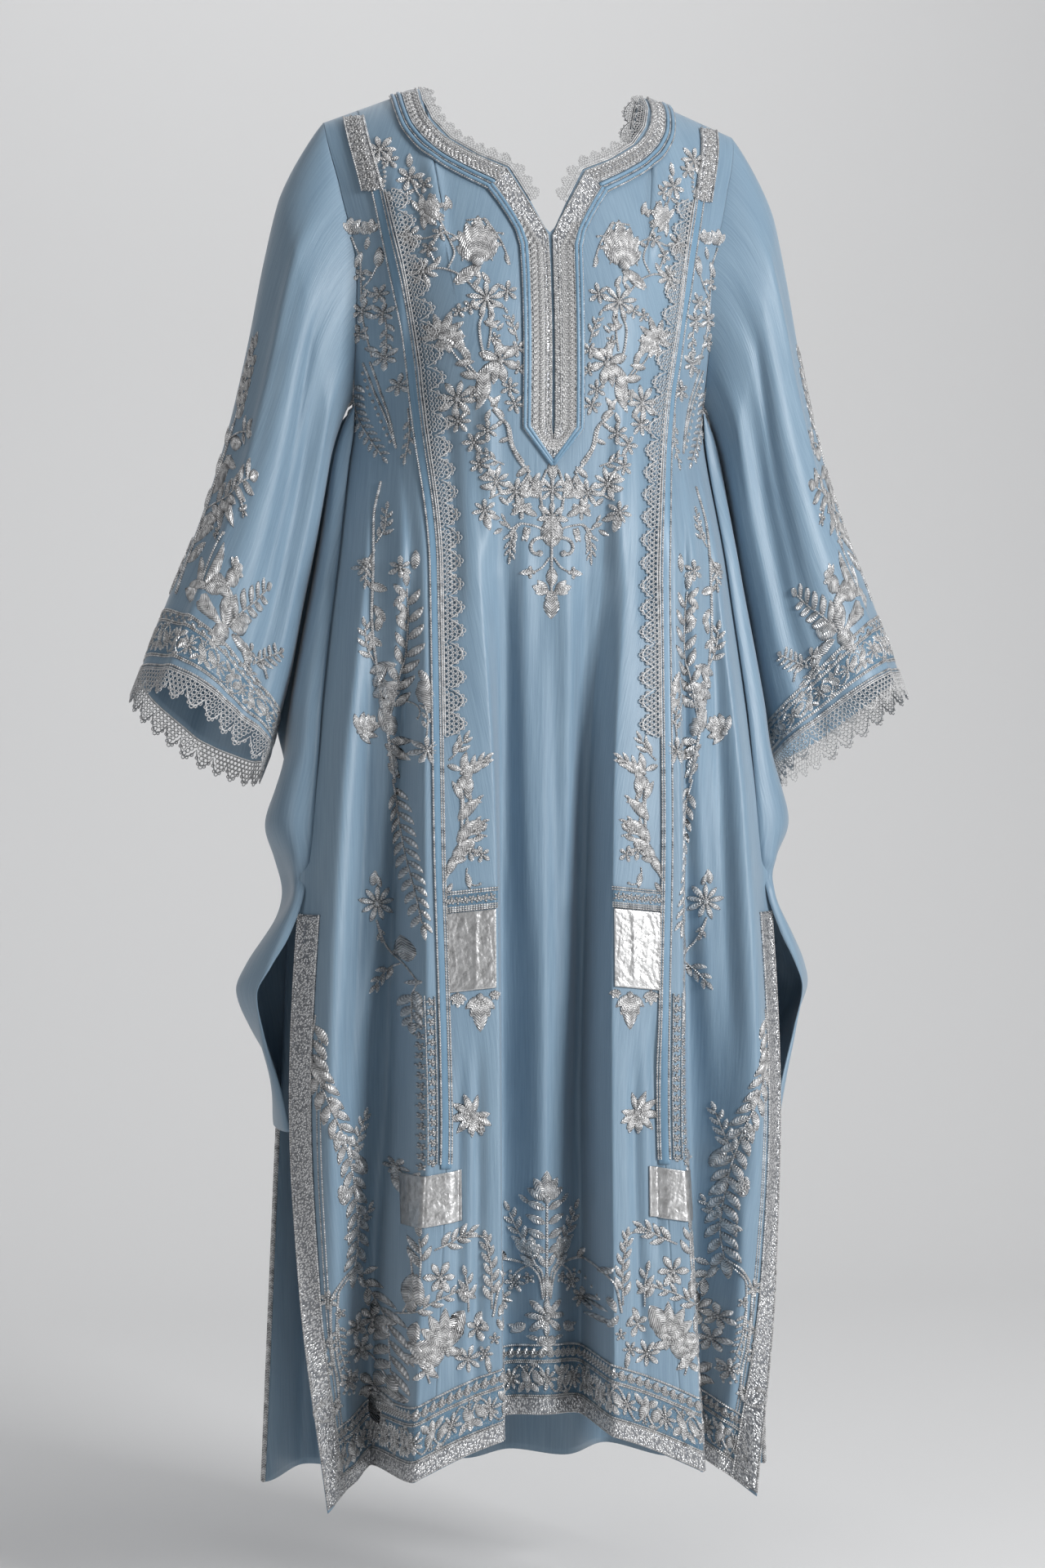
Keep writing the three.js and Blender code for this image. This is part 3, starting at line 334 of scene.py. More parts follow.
@frozen
class BodyFace(Chart):
    """One face of the body, front or back, as a height field over the front view.

    facing is -1 on the front and 1 on the back. x follows fold lines whose places change with height.
    held is the interval between fold lines that hangs level at its start.
    """

    facing: float
    levels: Row
    widths: dict[str, Row]
    depth_levels: Row
    depths: dict[str, Row]
    neck: dict[str, Row]
    neck_low: float
    deepest: float
    swell: float
    creases: tuple[Crease, ...]
    held: int = -1

    def lines(self, table: dict[str, Row], levels: Row, z: Array) -> Array:
        """The values of every fold line at heights z, stacked on a new first axis."""
        return np.stack([Curve(levels, row)(z) for row in table.values()])

    def x_at(self, q: Array, z: Array) -> Array:
        """Half width at fold line coordinate q: a straight blend between two neighbouring lines."""
        k, low, high = around(self.lines(self.widths, self.levels, z), q)
        return mix(low, high, q - k)

    def q_at(self, x: Array, z: Array) -> Array:
        """Fold line coordinate at (x, z): how many intervals between lines lie inside x."""
        widths = self.lines(self.widths, self.levels, z)
        shares = (np.abs(x)[None] - widths[:-1]) / np.diff(widths, axis=0)
        return np.clip(shares, 0, 1).sum(0)

    def depth_at(self, q: Array, x: Array, z: Array) -> Array:
        """Distance in front of or behind the middle plane.

        Args:
            q: fold line coordinate.
            x, z: place on the front view.

        Returns:
            The chest's arch, closed to the shoulder seam by a quarter ellipse, which turns smoothly
            below the arms into a blend between the depths of the fold lines.
        """
        k, low, high = around(self.lines(self.depths, self.depth_levels, z), q)
        turn = np.where(k == self.held, (q - k - HELD_SHARE) / (1 - HELD_SHARE), q - k)
        folded = mix(low, high, ease(turn))
        edge = Curve(self.levels, self.widths["edge"])(z)
        across = np.clip(np.abs(x) / edge, 0, 1)
        side = ARMHOLE_DEPTH(np.maximum(z, CHEST_Z))
        rise = np.clip((z - CHEST_Z) / (shoulder_z(x) - CHEST_Z), 0, 1)
        bust_far = ((np.abs(x) - 72) / 40) ** 2 + ((z + 215) / 58) ** 2
        bust = self.swell * np.exp(-bust_far / 2) * (1 - across**4)
        arch = side + (self.deepest - side) * (1 - across**ARCH_POWER)
        chest = (arch + bust) * np.sqrt(1 - rise * rise)
        return mix(folded, chest, ease((z + 420) / 125))

    def place(self, a: Array, b: Array) -> Array:
        """Point of the face over (a, b) = (x, z), with the creases added to its depth."""
        x, z = pair(a, b)
        depth = self.depth_at(self.q_at(x, z), x, z)
        calm = ease((shoulder_z(x) - z) / 60)
        for crease in self.creases:
            depth = depth + crease.lift(x, z) * calm
        return np.stack([x, self.facing * (depth + 0.05), z], -1)

    @property
    def outward(self) -> float:
        """The sign that turns its normals out."""
        return -self.facing

    def top(self, q: Array) -> Array:
        """Height where column q ends, on the neck edge or on the shoulder seam, found by halving."""
        low = np.full(q.shape, self.neck_low)
        high = np.zeros(q.shape)
        for _ in range(30):
            middle = (low + high) / 2
            opening = np.interp(middle, self.neck["z"], self.neck["half"])
            inside = opening < self.x_at(q, middle)
            low = np.where(inside, middle, low)
            high = np.where(inside, high, middle)
        seam = np.zeros(q.shape)
        for _ in range(12):
            seam = shoulder_z(self.x_at(q, seam))
        return np.where(q < 2 - 1e-9, (low + high) / 2, seam)

    def hem(self, x: Array) -> Array:
        """Height of the hem: higher at the middle of the front, a shallow curve on the back."""
        share = np.abs(x)
        if self.facing < 0:
            return -1114 - 78 * (share / 185) ** 1.6
        return -1184 - 12 * (share / 222) ** 2

    def grid(self, q0: float, q1: float, columns: int, skirt: int, dome: int) -> tuple[Array, Array]:
        """Chart coordinates of a panel between two signed fold line coordinates.

        Args:
            q0, q1: edges of the panel, negative on the left half.
            columns: cells across.
            skirt: cells from hem to underarm.
            dome: cells from the underarm to the top edge, closer towards the seam.

        Returns:
            x and z of the grid's points, one row a level.
        """
        signed = np.linspace(q0, q1, columns + 1)
        q = np.abs(signed)
        top = self.top(q)
        seam = shoulder_z(self.x_at(q, top))
        hem = self.hem(self.x_at(q, np.full(q.shape, -1170.0)))
        up = np.linspace(0, 1, skirt + 1)[:-1, None]
        skirt_z = mix(hem[None], CHEST_Z, up)
        full = np.arcsin(np.clip((top - CHEST_Z) / (seam - CHEST_Z), 0, 1))
        over = np.linspace(0, 1, dome + 1)[:, None]
        dome_z = CHEST_Z + (seam - CHEST_Z)[None] * np.sin(over * full[None])
        z = np.concatenate([skirt_z, dome_z])
        x = self.x_at(np.broadcast_to(q, z.shape), z) * np.sign(signed)[None]
        return x, z


FRONT = BodyFace(
    -1.0, FRONT_LEVELS, FRONT_WIDTHS, FRONT_DEPTH_LEVELS, FRONT_DEPTHS,
    FRONT_NECK, NECK_POINT_Z, CHEST_DEPTH, 13.0, FRONT_CREASES, 3,
)
BACK = BodyFace(
    1.0, BACK_LEVELS, BACK_WIDTHS, BACK_DEPTH_LEVELS, BACK_DEPTHS,
    BACK_NECK, BACK_NECK_Z, BACK_DEPTH, 0.0, BACK_CREASES,
)


@frozen
class RoundFold:
    """A lengthwise fold of a sleeve: its angle, drift along the sleeve, half width, depth and centre."""

    angle: float
    drift: float
    width: float
    depth: float
    deepest: float


SLEEVE_FOLDS = tuple(RoundFold(*row) for row in (
    (0.62, 0.05, 0.3, 5, 0.42), (1.35, -0.1, 0.3, -6, 0.55), (2.1, 0.12, 0.28, 12, 0.5),
    (2.62, 0.0, 0.24, -6, 0.4), (4.1, 0.1, 0.3, 6, 0.5), (5.2, -0.1, 0.32, 5, 0.6),
    (1.75, 0.15, 0.12, 5, 0.3), (1.02, -0.12, 0.12, -4.5, 0.3), (2.36, 0.05, 0.1, -5, 0.25),
    (4.7, 0.1, 0.12, -4.5, 0.3), (3.6, 0.05, 0.1, 2.2, 0.3),
))


@frozen
class SleeveFace(Chart):
    """A sleeve as rings from the armhole to the cuff. Chart a runs round it and b up from the cuff edge."""

    side: Side

    def ring(self, angle: Array, t: Array) -> Array:
        """Point at an angle round the sleeve and a share t of its length.

        Angle 0 is the outer edge, a quarter turn is the front. The ring is an ellipse between the outer
        and inner edge points, pressed in by the folds, and blends to the armhole near its start.
        """
        angle, t = pair(angle, t)
        inside = np.clip(t, 0, 1)
        over = (t - inside)[..., None] * SLEEVE_LENGTH
        s = {name: Curve(SLEEVE_STATIONS, row)(inside) for name, row in SLEEVE.items()}
        outer = np.stack([s["out_x"], s["back"], s["out_z"]], -1)
        inner = np.stack([s["in_x"], s["back"], s["in_z"]], -1)
        centre = (outer + inner) / 2
        forward = np.stack([np.zeros_like(t), -s["half"], s["rise"]], -1)
        pull = np.zeros_like(t)
        for fold in SLEEVE_FOLDS:
            off = angle - fold.angle - fold.drift * (inside - 0.5)
            off = np.arctan2(np.sin(off), np.cos(off))
            grown = ease(inside / fold.deepest) * (1.25 - inside * 0.6)
            pull = pull + fold.depth * np.exp(-((off / fold.width) ** 2)) * grown
        offset = (outer - centre) * np.cos(angle)[..., None] + forward * np.sin(angle)[..., None]
        ring = centre + offset - unit(offset) * pull[..., None]
        z = (TIP_Z + CHEST_Z) / 2 + (TIP_Z - CHEST_Z) / 2 * np.cos(angle)
        rise = (z - CHEST_Z) / (TIP_Z - CHEST_Z)
        depth = ARMHOLE_DEPTH(z) * np.sqrt(np.clip(1 - rise * rise, 0, 1))
        edge = Curve(FRONT_LEVELS, FRONT_WIDTHS["edge"])(z) + 0.2
        armhole = np.stack([edge, -np.sign(np.round(np.sin(angle), 6)) * depth, z], -1)
        point = mix(armhole, ring, ease(inside / 0.2)[..., None])
        point = point + over * np.array([0.36, 0.0, -0.93])
        return point * np.array([self.side.sign, 1, 1])

    def radius(self, t: Array) -> Array:
        """Mean radius of the ring at a share t, which turns distances round the sleeve into angles."""
        t = np.clip(t, 0, 1)
        reach = np.hypot(
            Curve(SLEEVE_STATIONS, SLEEVE["out_x"])(t) - Curve(SLEEVE_STATIONS, SLEEVE["in_x"])(t),
            Curve(SLEEVE_STATIONS, SLEEVE["out_z"])(t) - Curve(SLEEVE_STATIONS, SLEEVE["in_z"])(t),
        )
        return np.sqrt((reach**2 / 4 + Curve(SLEEVE_STATIONS, SLEEVE["half"])(t) ** 2) / 2)

    def place(self, a: Array, b: Array) -> Array:
        """Point of the sleeve, a millimetres round from its outer edge and b up from its cuff edge."""
        a, b = pair(a, b)
        t = 1 - b / SLEEVE_LENGTH
        return self.ring(a / self.radius(t), t)

    @property
    def outward(self) -> float:
        """The sign that turns its normals out."""
        return -self.side.sign


@frozen
class DrapeFace:
    """A side drape: u runs from its front edge round the outline to its back seam, and z is the height."""

    side: Side

    def place(self, u: Array, z: Array) -> Array:
        """Point of the drape: a swing out from a straight line between its edges, with slanting rolls."""
        u, z = pair(u, z)
        get = {name: Curve(DRAPE_LEVELS, row)(z) for name, row in DRAPE.items()}
        front_x = get["front_x"]
        sewn = FRONT.place(front_x, z) + FRONT.normal(front_x, z) * SEWN_GAP
        hung = np.stack([front_x, -get["depth"], z], -1)
        start = mix(sewn, hung, get["free"][..., None])
        end = BACK.place(get["back_x"], z) + BACK.normal(get["back_x"], z) * SEWN_GAP
        turn = np.clip(u, 0, 1)
        swing = np.maximum(np.sin(np.pi * turn), 0) ** 0.6
        x = mix(mix(start[..., 0], end[..., 0], turn), get["out_x"], swing)
        y = mix(start[..., 1], end[..., 1], (1 - np.cos(np.pi * turn)) / 2)
        low = ease((-520 - z) / 120) * ease((z + 900) / 60)
        roll = np.sin((z + 640 + 95 * (u - 0.35)) / 21.0) * 4.6 + np.sin((z - 70 * u) / 34.0) * 3.6
        x = x + roll * low * np.maximum(np.sin(np.pi * turn), 0) ** 1.2 - 3 * low
        pressed = ease((-270 - z) / 34) * ease((z + 590) / 60)
        x = x + 15 * np.exp(-(((turn - 0.82) / 0.09) ** 2)) * pressed
        return np.stack([x * self.side.value, y, z], -1)


# Meshes


def shown(name: str, data: bpy.types.ID) -> Piece:
    """A new object in the scene."""
    piece = bpy.data.objects.new(name, data)
    bpy.context.scene.collection.objects.link(piece)
    return piece


def mesh_object(
    name: str, points: Array, faces: Sequence[Array], uv: Array | None, material: Material
) -> Piece:
    """Put arrays into a mesh object.

    Args:
        name: the object's name.
        points: vertex positions in metres, (n, 3).
        faces: one array of vertex numbers for each kind of face, (m, corners).
        uv: texture coordinates for each vertex, (n, 2), or None.
        material: the finish.

    Returns:
        The new object, smooth shaded, at the origin.
    """
    mesh = bpy.data.meshes.new(name)
    mesh.vertices.add(len(points))
    mesh.vertices.foreach_set("co", np.ascontiguousarray(points, np.float32).ravel())
    indices = np.concatenate([kind.ravel() for kind in faces]).astype(np.int32)
    totals = np.concatenate([np.full(len(kind), kind.shape[1], np.int32) for kind in faces])
    starts = np.concatenate([[0], np.cumsum(totals)[:-1]]).astype(np.int32)
    mesh.loops.add(len(indices))
    mesh.loops.foreach_set("vertex_index", indices)
    mesh.polygons.add(len(totals))
    mesh.polygons.foreach_set("loop_start", starts)
    mesh.polygons.foreach_set("loop_total", totals)
    mesh.polygons.foreach_set("use_smooth", np.ones(len(totals), bool))
    if uv is not None:
        layer = mesh.uv_layers.new(name="UVMap")
        layer.data.foreach_set("uv", np.ascontiguousarray(uv[indices], np.float32).ravel())
    mesh.update(calc_edges=True)
    mesh.validate()
    mesh.materials.append(material)
    return shown(name, mesh)


def grid_faces(rows: int, columns: int, wrap: bool = False, flip: bool = False) -> Array:
    """Quads of a grid of points, row by row.

    Args:
        rows, columns: how many points each way.
        wrap: whether the last column joins the first.
        flip: whether the faces turn the other way.

    Returns:
        Vertex numbers, (m, 4).
    """
    i, j = np.meshgrid(np.arange(rows - 1), np.arange(columns if wrap else columns - 1), indexing="ij")
    k = (j + 1) % columns
    quads = np.stack([i * columns + j, i * columns + k, (i + 1) * columns + k, (i + 1) * columns + j], -1)
    quads = quads.reshape(-1, 4)
    return quads[:, ::-1] if flip else quads


def cut_size(points: Array) -> Triple:
    """Flat size of a grid of points, in metres: its widest row, its longest column and its area."""
    across, along = (np.diff(points, axis=k) for k in (1, 0))
    width, length = (np.linalg.norm(v, axis=-1).sum(1 - k).max() for k, v in enumerate((across, along)))
    area = np.linalg.norm(np.cross(across[:-1], along[:, :-1]), axis=-1).sum()
    return float(width * MM), float(length * MM), float(area * MM * MM)


def developed_uv(points: Array) -> Array:
    """Texture coordinates in metres: arc length across each row and mean length up the columns."""
    across, along = (np.linalg.norm(np.diff(points, axis=k), axis=-1) for k in (1, 0))
    u = np.concatenate([np.zeros((len(points), 1)), np.cumsum(across, 1)], 1)
    v = np.concatenate([[0.0], np.cumsum(along.mean(1))])[:, None]
    return np.stack(np.broadcast_arrays(u - u[:, -1:] / 2, v), -1) * MM


def sheet_object(name: str, points: Array, faces: Array, material: Material, thickness: float) -> Piece:
    """A sheet with a real wall, inwards from its face.

    Args:
        name, material: as for any mesh.
        points: grid of its face in millimetres, (rows, columns, 3).
        faces: vertex numbers of its quads.
        thickness: of the wall, in millimetres.

    Returns:
        The new object.
    """
    uv = developed_uv(points).reshape(-1, 2)
    piece = mesh_object(name, points.reshape(-1, 3) * MM, [faces], uv, material)
    wall = piece.modifiers.new("wall", "SOLIDIFY")
    wall.thickness = thickness * MM
    wall.offset = -1
    return piece


def faces_out(points: Array, normals: Array) -> Array:
    """Quads of a grid of points, turned so that they face along its normals."""
    across = points[:-1, 1:] - points[:-1, :-1]
    along = points[1:, :-1] - points[:-1, :-1]
    outward = (np.cross(across, along) * normals[:-1, :-1]).sum() > 0
    return grid_faces(*points.shape[:2], flip=not outward)


# Needlework on a chart


def smooth_path(points: Sequence[tuple[float, float]], step: float = 2.6) -> Array:
    """A smooth path through points, resampled evenly.

    Args:
        points: corners of the path on the chart.
        step: distance between the new points.

    Returns:
        Chart points, (n, 2), on monotone cubics over the running length.
    """
    corners_ = np.asarray(points, float)
    along = running(corners_)
    count = max(int(along[-1] / step), 2)
    at = np.linspace(0, along[-1], count + 1)
    if len(corners_) == 2:
        return corners_[0] + (corners_[1] - corners_[0]) * (at / along[-1])[:, None]
    keys = tuple(along)
    return np.stack([Curve(keys, tuple(corners_[:, k]))(at) for k in (0, 1)], -1)


def even_path(points: Array, count: int) -> Array:
    """A polyline resampled to count + 1 evenly spaced points."""
    along = running(points)
    return walk(points, along, np.linspace(0, along[-1], count + 1))


def path_sides(path: Array) -> Array:
    """Unit vectors to the left of a path's direction of travel on the chart."""
    forward = unit(np.gradient(path, axis=0))
    return np.stack([-forward[:, 1], forward[:, 0]], -1)


LEAF_ROWS = np.array([0.1, 0.3, 0.52, 0.74, 0.9])
LEAF_COLUMNS = np.array([-1, -0.5, 0, 0.5, 1])
LEAF_CROWN = np.array([-0.12, 0.92, 0.66, 0.92, -0.12])
LEAF_GROWTH = 1.12
LEAF_PLUMP = 1.18
TUBE_SIDES = 6
RING_STEPS = 8
RING_SIDES = 4
BEAD_STEPS = 8
BEAD_ELEVATIONS = np.radians([-12, 28, 62])


def leaf_faces() -> tuple[Array, Array]:
    """Quads and triangles of the leaf template.

    The template has five rows of five points between a foot point and a tip point. A flat underside
    joins the two rims.
    """
    rows, columns = len(LEAF_ROWS), len(LEAF_COLUMNS)
    quads = grid_faces(rows, columns, flip=True) + 1
    tip = rows * columns + 1
    under = [[1 + i * 5, 5 + i * 5, 10 + i * 5, 6 + i * 5] for i in range(rows - 1)]
    foot_fan = [[0, 1 + j + 1, 1 + j][::-1] for j in range(columns - 1)]
    last = 1 + (rows - 1) * columns
    tip_fan = [[tip, last + j, last + j + 1][::-1] for j in range(columns - 1)]
    ends = [[0, 5, 1], [tip, last, last + 4]]
    return np.concatenate([quads, np.array(under)]), np.array(foot_fan + tip_fan + ends)


LEAF_QUADS, LEAF_TRIANGLES = leaf_faces()


@dataclass
class Needlework:
    """Collects stitches laid on a chart and makes one mesh of them.

    mirror is -1 where every a is taken with its sign changed; ground lifts all of it off the cloth.
    """

    chart: Chart
    mirror: float = 1.0
    ground: float = 0.0
    leaves: list[Array] = field(default_factory=list)
    tubes: list[tuple[Array, float, float]] = field(default_factory=list)
    rings: list[Row] = field(default_factory=list)
    beads: list[Triple] = field(default_factory=list)

    def leaf(
        self, x: float, z: float, heading: float, length: float, plump: float = 0.36, bend: float = 0.0,
        petal: bool = False, height: float = 1.7,
    ) -> None:
        """Add a leaf or petal.

        Its half width is a power of a sine along it, its height a dome with a groove at the vein, and
        its spine turns by bend degrees from foot to tip.
        """
        warp = 1.35 if petal else 0.85
        s = np.concatenate([[0], np.repeat(LEAF_ROWS, 5), [1]])
        w = np.concatenate([[0], np.tile(LEAF_COLUMNS, 5), [0]])
        length, plump = length * LEAF_GROWTH, plump * LEAF_PLUMP
        half = np.maximum(np.sin(np.pi * s**warp), 0) ** 0.8 * length * plump / 2
        crown = np.concatenate([[-0.1], np.tile(LEAF_CROWN, 5), [-0.1]])
        dome = np.where(crown > 0, crown * np.maximum(np.sin(np.pi * s), 0) ** 0.45, crown)
        size = height * min(1.0, 0.55 + length / 30)
        turn = np.radians(heading + bend * s / 2)
        side = np.radians(heading + bend * s)
        a = x + s * length * np.cos(turn) - w * half * np.sin(side)
        b = z + s * length * np.sin(turn) + w * half * np.cos(side)
        lift = np.where(dome > 0, dome * size, dome)
        self.leaves.append(np.stack([a, b, lift, s * length, w * half], -1))

    def tube(self, path: Array, radius: float, lift: float | None = None) -> None:
        """Add a cord along chart points, half sunk in the cloth unless lift says otherwise."""
        self.tubes.append((path, radius, radius * 0.35 if lift is None else lift))

    def cords(self, radius: float, *paths: Array, lift: float | None = None) -> None:
        """Add cords of one radius."""
        for path in paths:
            self.tube(path, radius, lift)

    def add(self, motifs: "Sequence[Motif]") -> "Needlework":
        """Stitch motifs and return the same work."""
        for motif in motifs:
            motif.stitch(self)
        return self

    def bead(self, a: float, b: float, radius: float) -> None:
        """Add a bead."""
        self.beads.append((a, b, radius))

    def frames(self, a: Array, b: Array) -> tuple[Array, Array, Array, Array]:
        """Points and the tangent, side and normal vectors of the chart."""
        a = a * self.mirror
        point = self.chart.place(a, b)
        normal = self.chart.normal(a, b)
        tangent = self.chart.place(a + STEP, b) - self.chart.place(a - STEP, b)
        tangent = unit(tangent - normal * (tangent * normal).sum(-1, keepdims=True))
        return point + normal * self.ground, tangent, np.cross(normal, tangent), normal

    def leaf_mesh(self) -> MeshData:
        """All leaves: points, UVs and faces."""
        table = np.stack(self.leaves)
        point, _, _, normal = self.frames(table[..., 0], table[..., 1])
        points = point + normal * table[..., 2:3]
        start = np.arange(len(table))[:, None, None] * table.shape[1]
        widths = points[:, 15] - points[:, 11]
        turn = 1 if (np.cross(points[:, -1] - points[:, 0], widths) * normal[:, 0]).sum() > 0 else -1
        quads = (start + LEAF_QUADS[:, ::turn]).reshape(-1, 4)
        triangles = (start + LEAF_TRIANGLES[:, ::turn]).reshape(-1, 3)
        return points.reshape(-1, 3), table[..., 3:5].reshape(-1, 2), [quads, triangles]

    def tube_mesh(self) -> MeshData:
        """All cords: six sided tubes whose two ends taper and close."""
        paths = [np.concatenate([p[:1], p, p[-1:]]) for p, _, _ in self.tubes]
        whole = np.concatenate(paths)
        point, _, _, normal = self.frames(whole[:, 0], whole[:, 1])
        phi = np.arange(TUBE_SIDES) * 2 * np.pi / TUBE_SIDES
        points, uvs, quads, caps, at = [], [], [], [], 0
        for path, (_, radius, lift) in zip(paths, self.tubes):
            n = len(path)
            p, up = point[at : at + n], normal[at : at + n]
            forward = unit(np.gradient(p[1:-1], axis=0)) if n > 3 else unit(np.tile(p[-2] - p[1], (n - 2, 1)))
            forward = np.concatenate([forward[:1], forward, forward[-1:]])
            p = p.copy()
            p[0] -= forward[0] * radius * 0.5
            p[-1] += forward[-1] * radius * 0.5
            side = unit(np.cross(forward, up))
            girth = np.full(n, radius)
            girth[[0, -1]] = radius * 0.3
            ring = side[:, None] * np.cos(phi)[:, None] + up[:, None] * np.sin(phi)[:, None]
            points.append(p[:, None] + up[:, None] * lift + ring * girth[:, None, None])
            run = running(p)
            uvs.append(np.stack(np.broadcast_arrays(run[:, None], radius * np.cos(phi)), -1))
            base = at * TUBE_SIDES
            quads.append(grid_faces(n, TUBE_SIDES, wrap=True, flip=True) + base)
            cap = np.arange(TUBE_SIDES) + base
            caps += [cap, cap[::-1] + (n - 1) * TUBE_SIDES]
            at += n
        flat = [np.concatenate([p.reshape(-1, k) for p in group_]) for group_, k in ((points, 3), (uvs, 2))]
        return flat[0], flat[1], [np.concatenate(quads), np.stack(caps)]

    def ring_mesh(self) -> MeshData:
        """All rings: small tori flat on the chart."""
        t = np.array(self.rings)
        point, across, along, normal = (v[:, None, None] for v in self.frames(t[:, 0], t[:, 1]))
        radius, thread, lift = (t[:, k, None, None, None] for k in (2, 3, 4))
        phi = (np.arange(RING_STEPS) * 2 * np.pi / RING_STEPS)[None, :, None, None]
        theta = (np.arange(RING_SIDES) * 2 * np.pi / RING_SIDES)[None, None, :, None]
        out = across * np.cos(phi) + along * np.sin(phi)
        points = point + normal * (lift + thread * np.sin(theta)) + out * (radius + thread * np.cos(theta))
        i, j = np.meshgrid(np.arange(RING_STEPS), np.arange(RING_SIDES), indexing="ij")
        i2, j2 = (i + 1) % RING_STEPS, (j + 1) % RING_SIDES
        quad = np.stack([i * 4 + j, i2 * 4 + j, i2 * 4 + j2, i * 4 + j2], -1).reshape(-1, 4)
        start = np.arange(len(t))[:, None, None] * RING_STEPS * RING_SIDES
        uv = np.broadcast_to(phi * radius, points.shape[:3] + (1,))
        uv = np.concatenate([uv, np.zeros_like(uv)], -1)
        return points.reshape(-1, 3), uv.reshape(-1, 2), [(start + quad).reshape(-1, 4)]

    def bead_mesh(self) -> MeshData:
        """All beads: low domes of three rings and a pole."""
        t = np.array(self.beads)
        point, across, along, normal = (v[:, None, None] for v in self.frames(t[:, 0], t[:, 1]))
        radius = t[:, 2, None, None, None]
        phi = (np.arange(BEAD_STEPS) * 2 * np.pi / BEAD_STEPS)[None, None, :, None]
        rise = BEAD_ELEVATIONS[None, :, None, None]
        out = across * np.cos(phi) + along * np.sin(phi)
        dome = point + (out * np.cos(rise) + normal * np.sin(rise)) * radius
        pole = (point + normal * radius)[:, 0]
        points = np.concatenate([dome.reshape(len(t), -1, 3), pole], 1)
        each = points.shape[1]
        start = np.arange(len(t))[:, None, None] * each
        quads = grid_faces(len(BEAD_ELEVATIONS), BEAD_STEPS, wrap=True)
        last = (len(BEAD_ELEVATIONS) - 1) * BEAD_STEPS
        fan = np.array([[last + j, last + (j + 1) % BEAD_STEPS, each - 1] for j in range(BEAD_STEPS)])
        base = np.arange(BEAD_STEPS)[None, ::-1]
        faces = [(start + quads).reshape(-1, 4), (start + fan).reshape(-1, 3), (start + base[None])[:, 0]]
        uv = np.concatenate([(points - points[:, -1:])[..., [0, 2]]], 0)
        return points.reshape(-1, 3), uv.reshape(-1, 2), faces

    def mesh(self, name: str, material: Material) -> Piece:
        """Join all stitches in one mesh object.

        Args:
            name: the object's name.
            material: its finish.

        Returns:
            The object, in metres.
        """
        makers = (
            (self.leaves, self.leaf_mesh), (self.tubes, self.tube_mesh),
            (self.rings, self.ring_mesh), (self.beads, self.bead_mesh),
        )
        points, uvs, faces, base = [], [], [], 0
        for stock, make in makers:
            if not stock:
                continue
            p, uv, lists = make()
            points.append(p)
            uvs.append(uv)
            faces += [group_ + base for group_ in lists]
            base += len(p)
        return mesh_object(name, np.concatenate(points) * MM, faces, np.concatenate(uvs) * MM, material)


class Motif(Protocol):
    """Something that can be stitched."""

    def stitch(self, work: Needlework) -> None:
        """Add the motif's stitches to the work."""


@frozen
class Leaf:
    """One leaf from its foot (x, z), with heading in degrees, length, plumpness and bend."""

    x: float
    z: float
    heading: float
    length: float
    plump: float = 0.38
    bend: float = 0.0

    def stitch(self, work: Needlework) -> None:
        """Add the leaf."""
        work.leaf(self.x, self.z, self.heading, self.length, self.plump, self.bend)


@frozen
class Bloom:
    """A flower or a fan of petals about (x, z): spin is its middle heading and arc its spread."""

    x: float
    z: float
    radius: float
    petals: int = 6
    spin: float = 90.0
    arc: float = 360.0
    plump: float = 0.0

    def stitch(self, work: Needlework) -> None:
        """Add the petals, every other one a little shorter in a full flower, and the centre bead."""
        whole = self.arc >= 360
        steps = self.petals if whole else max(self.petals - 1, 1)
        wide = self.plump or min(0.95, 2.5 / self.petals * (1.0 if whole else 0.9))
        for k in range(self.petals):
            heading = self.spin + self.arc * (k / steps - (0 if whole else 0.5))
            off = abs(k - (self.petals - 1) / 2) / max(self.petals - 1, 1)
            length = self.radius * ((1.0 if k % 2 else 0.9) if whole else 1.05 - 0.5 * off)
            work.leaf(self.x, self.z, heading, length, wide, 0, petal=whole, height=2.0)
        work.bead(self.x, self.z, max(1.1, self.radius * 0.17))


@frozen
class Stem:
    """A couched stem through points."""

    points: Path
    width: float = 0.95

    def stitch(self, work: Needlework) -> None:
        """Add the stem."""
        work.tube(smooth_path(self.points), self.width)


@frozen
class Frond:
    """A stem with leaves on both sides that shorten towards its tip."""

    points: Path
    leaf: float
    gap: float
    spread: float = 44.0
    plump: float = 0.38
    taper: float = 0.35
    width: float = 0.85

    def stitch(self, work: Needlework) -> None:
        """Add the stem, a leaf at each gap on alternate sides, and one at the tip."""
        path = smooth_path(self.points, 1.5)
        work.tube(path[::2] if len(path) > 6 else path, self.width)
        run = running(path)
        places = np.arange(self.gap * 0.7, run[-1] - self.leaf * 0.15, self.gap / 2)
        for n, at in enumerate(places):
            x, z = walk(path, run, at)
            i = int(np.clip(np.searchsorted(run, at), 1, len(path) - 1))
            dx, dz = path[i] - path[i - 1]
            heading = math.degrees(math.atan2(dz, dx))
            side = 1 if n % 2 else -1
            length = self.leaf * (1 - self.taper * at / run[-1])
            work.leaf(x, z, heading + side * self.spread, length, self.plump, -side * self.spread * 0.45)
        dx, dz = path[-1] - path[-2]
        tip = self.leaf * (1 - self.taper) * 1.05
        work.leaf(*path[-1], math.degrees(math.atan2(dz, dx)), tip, self.plump)


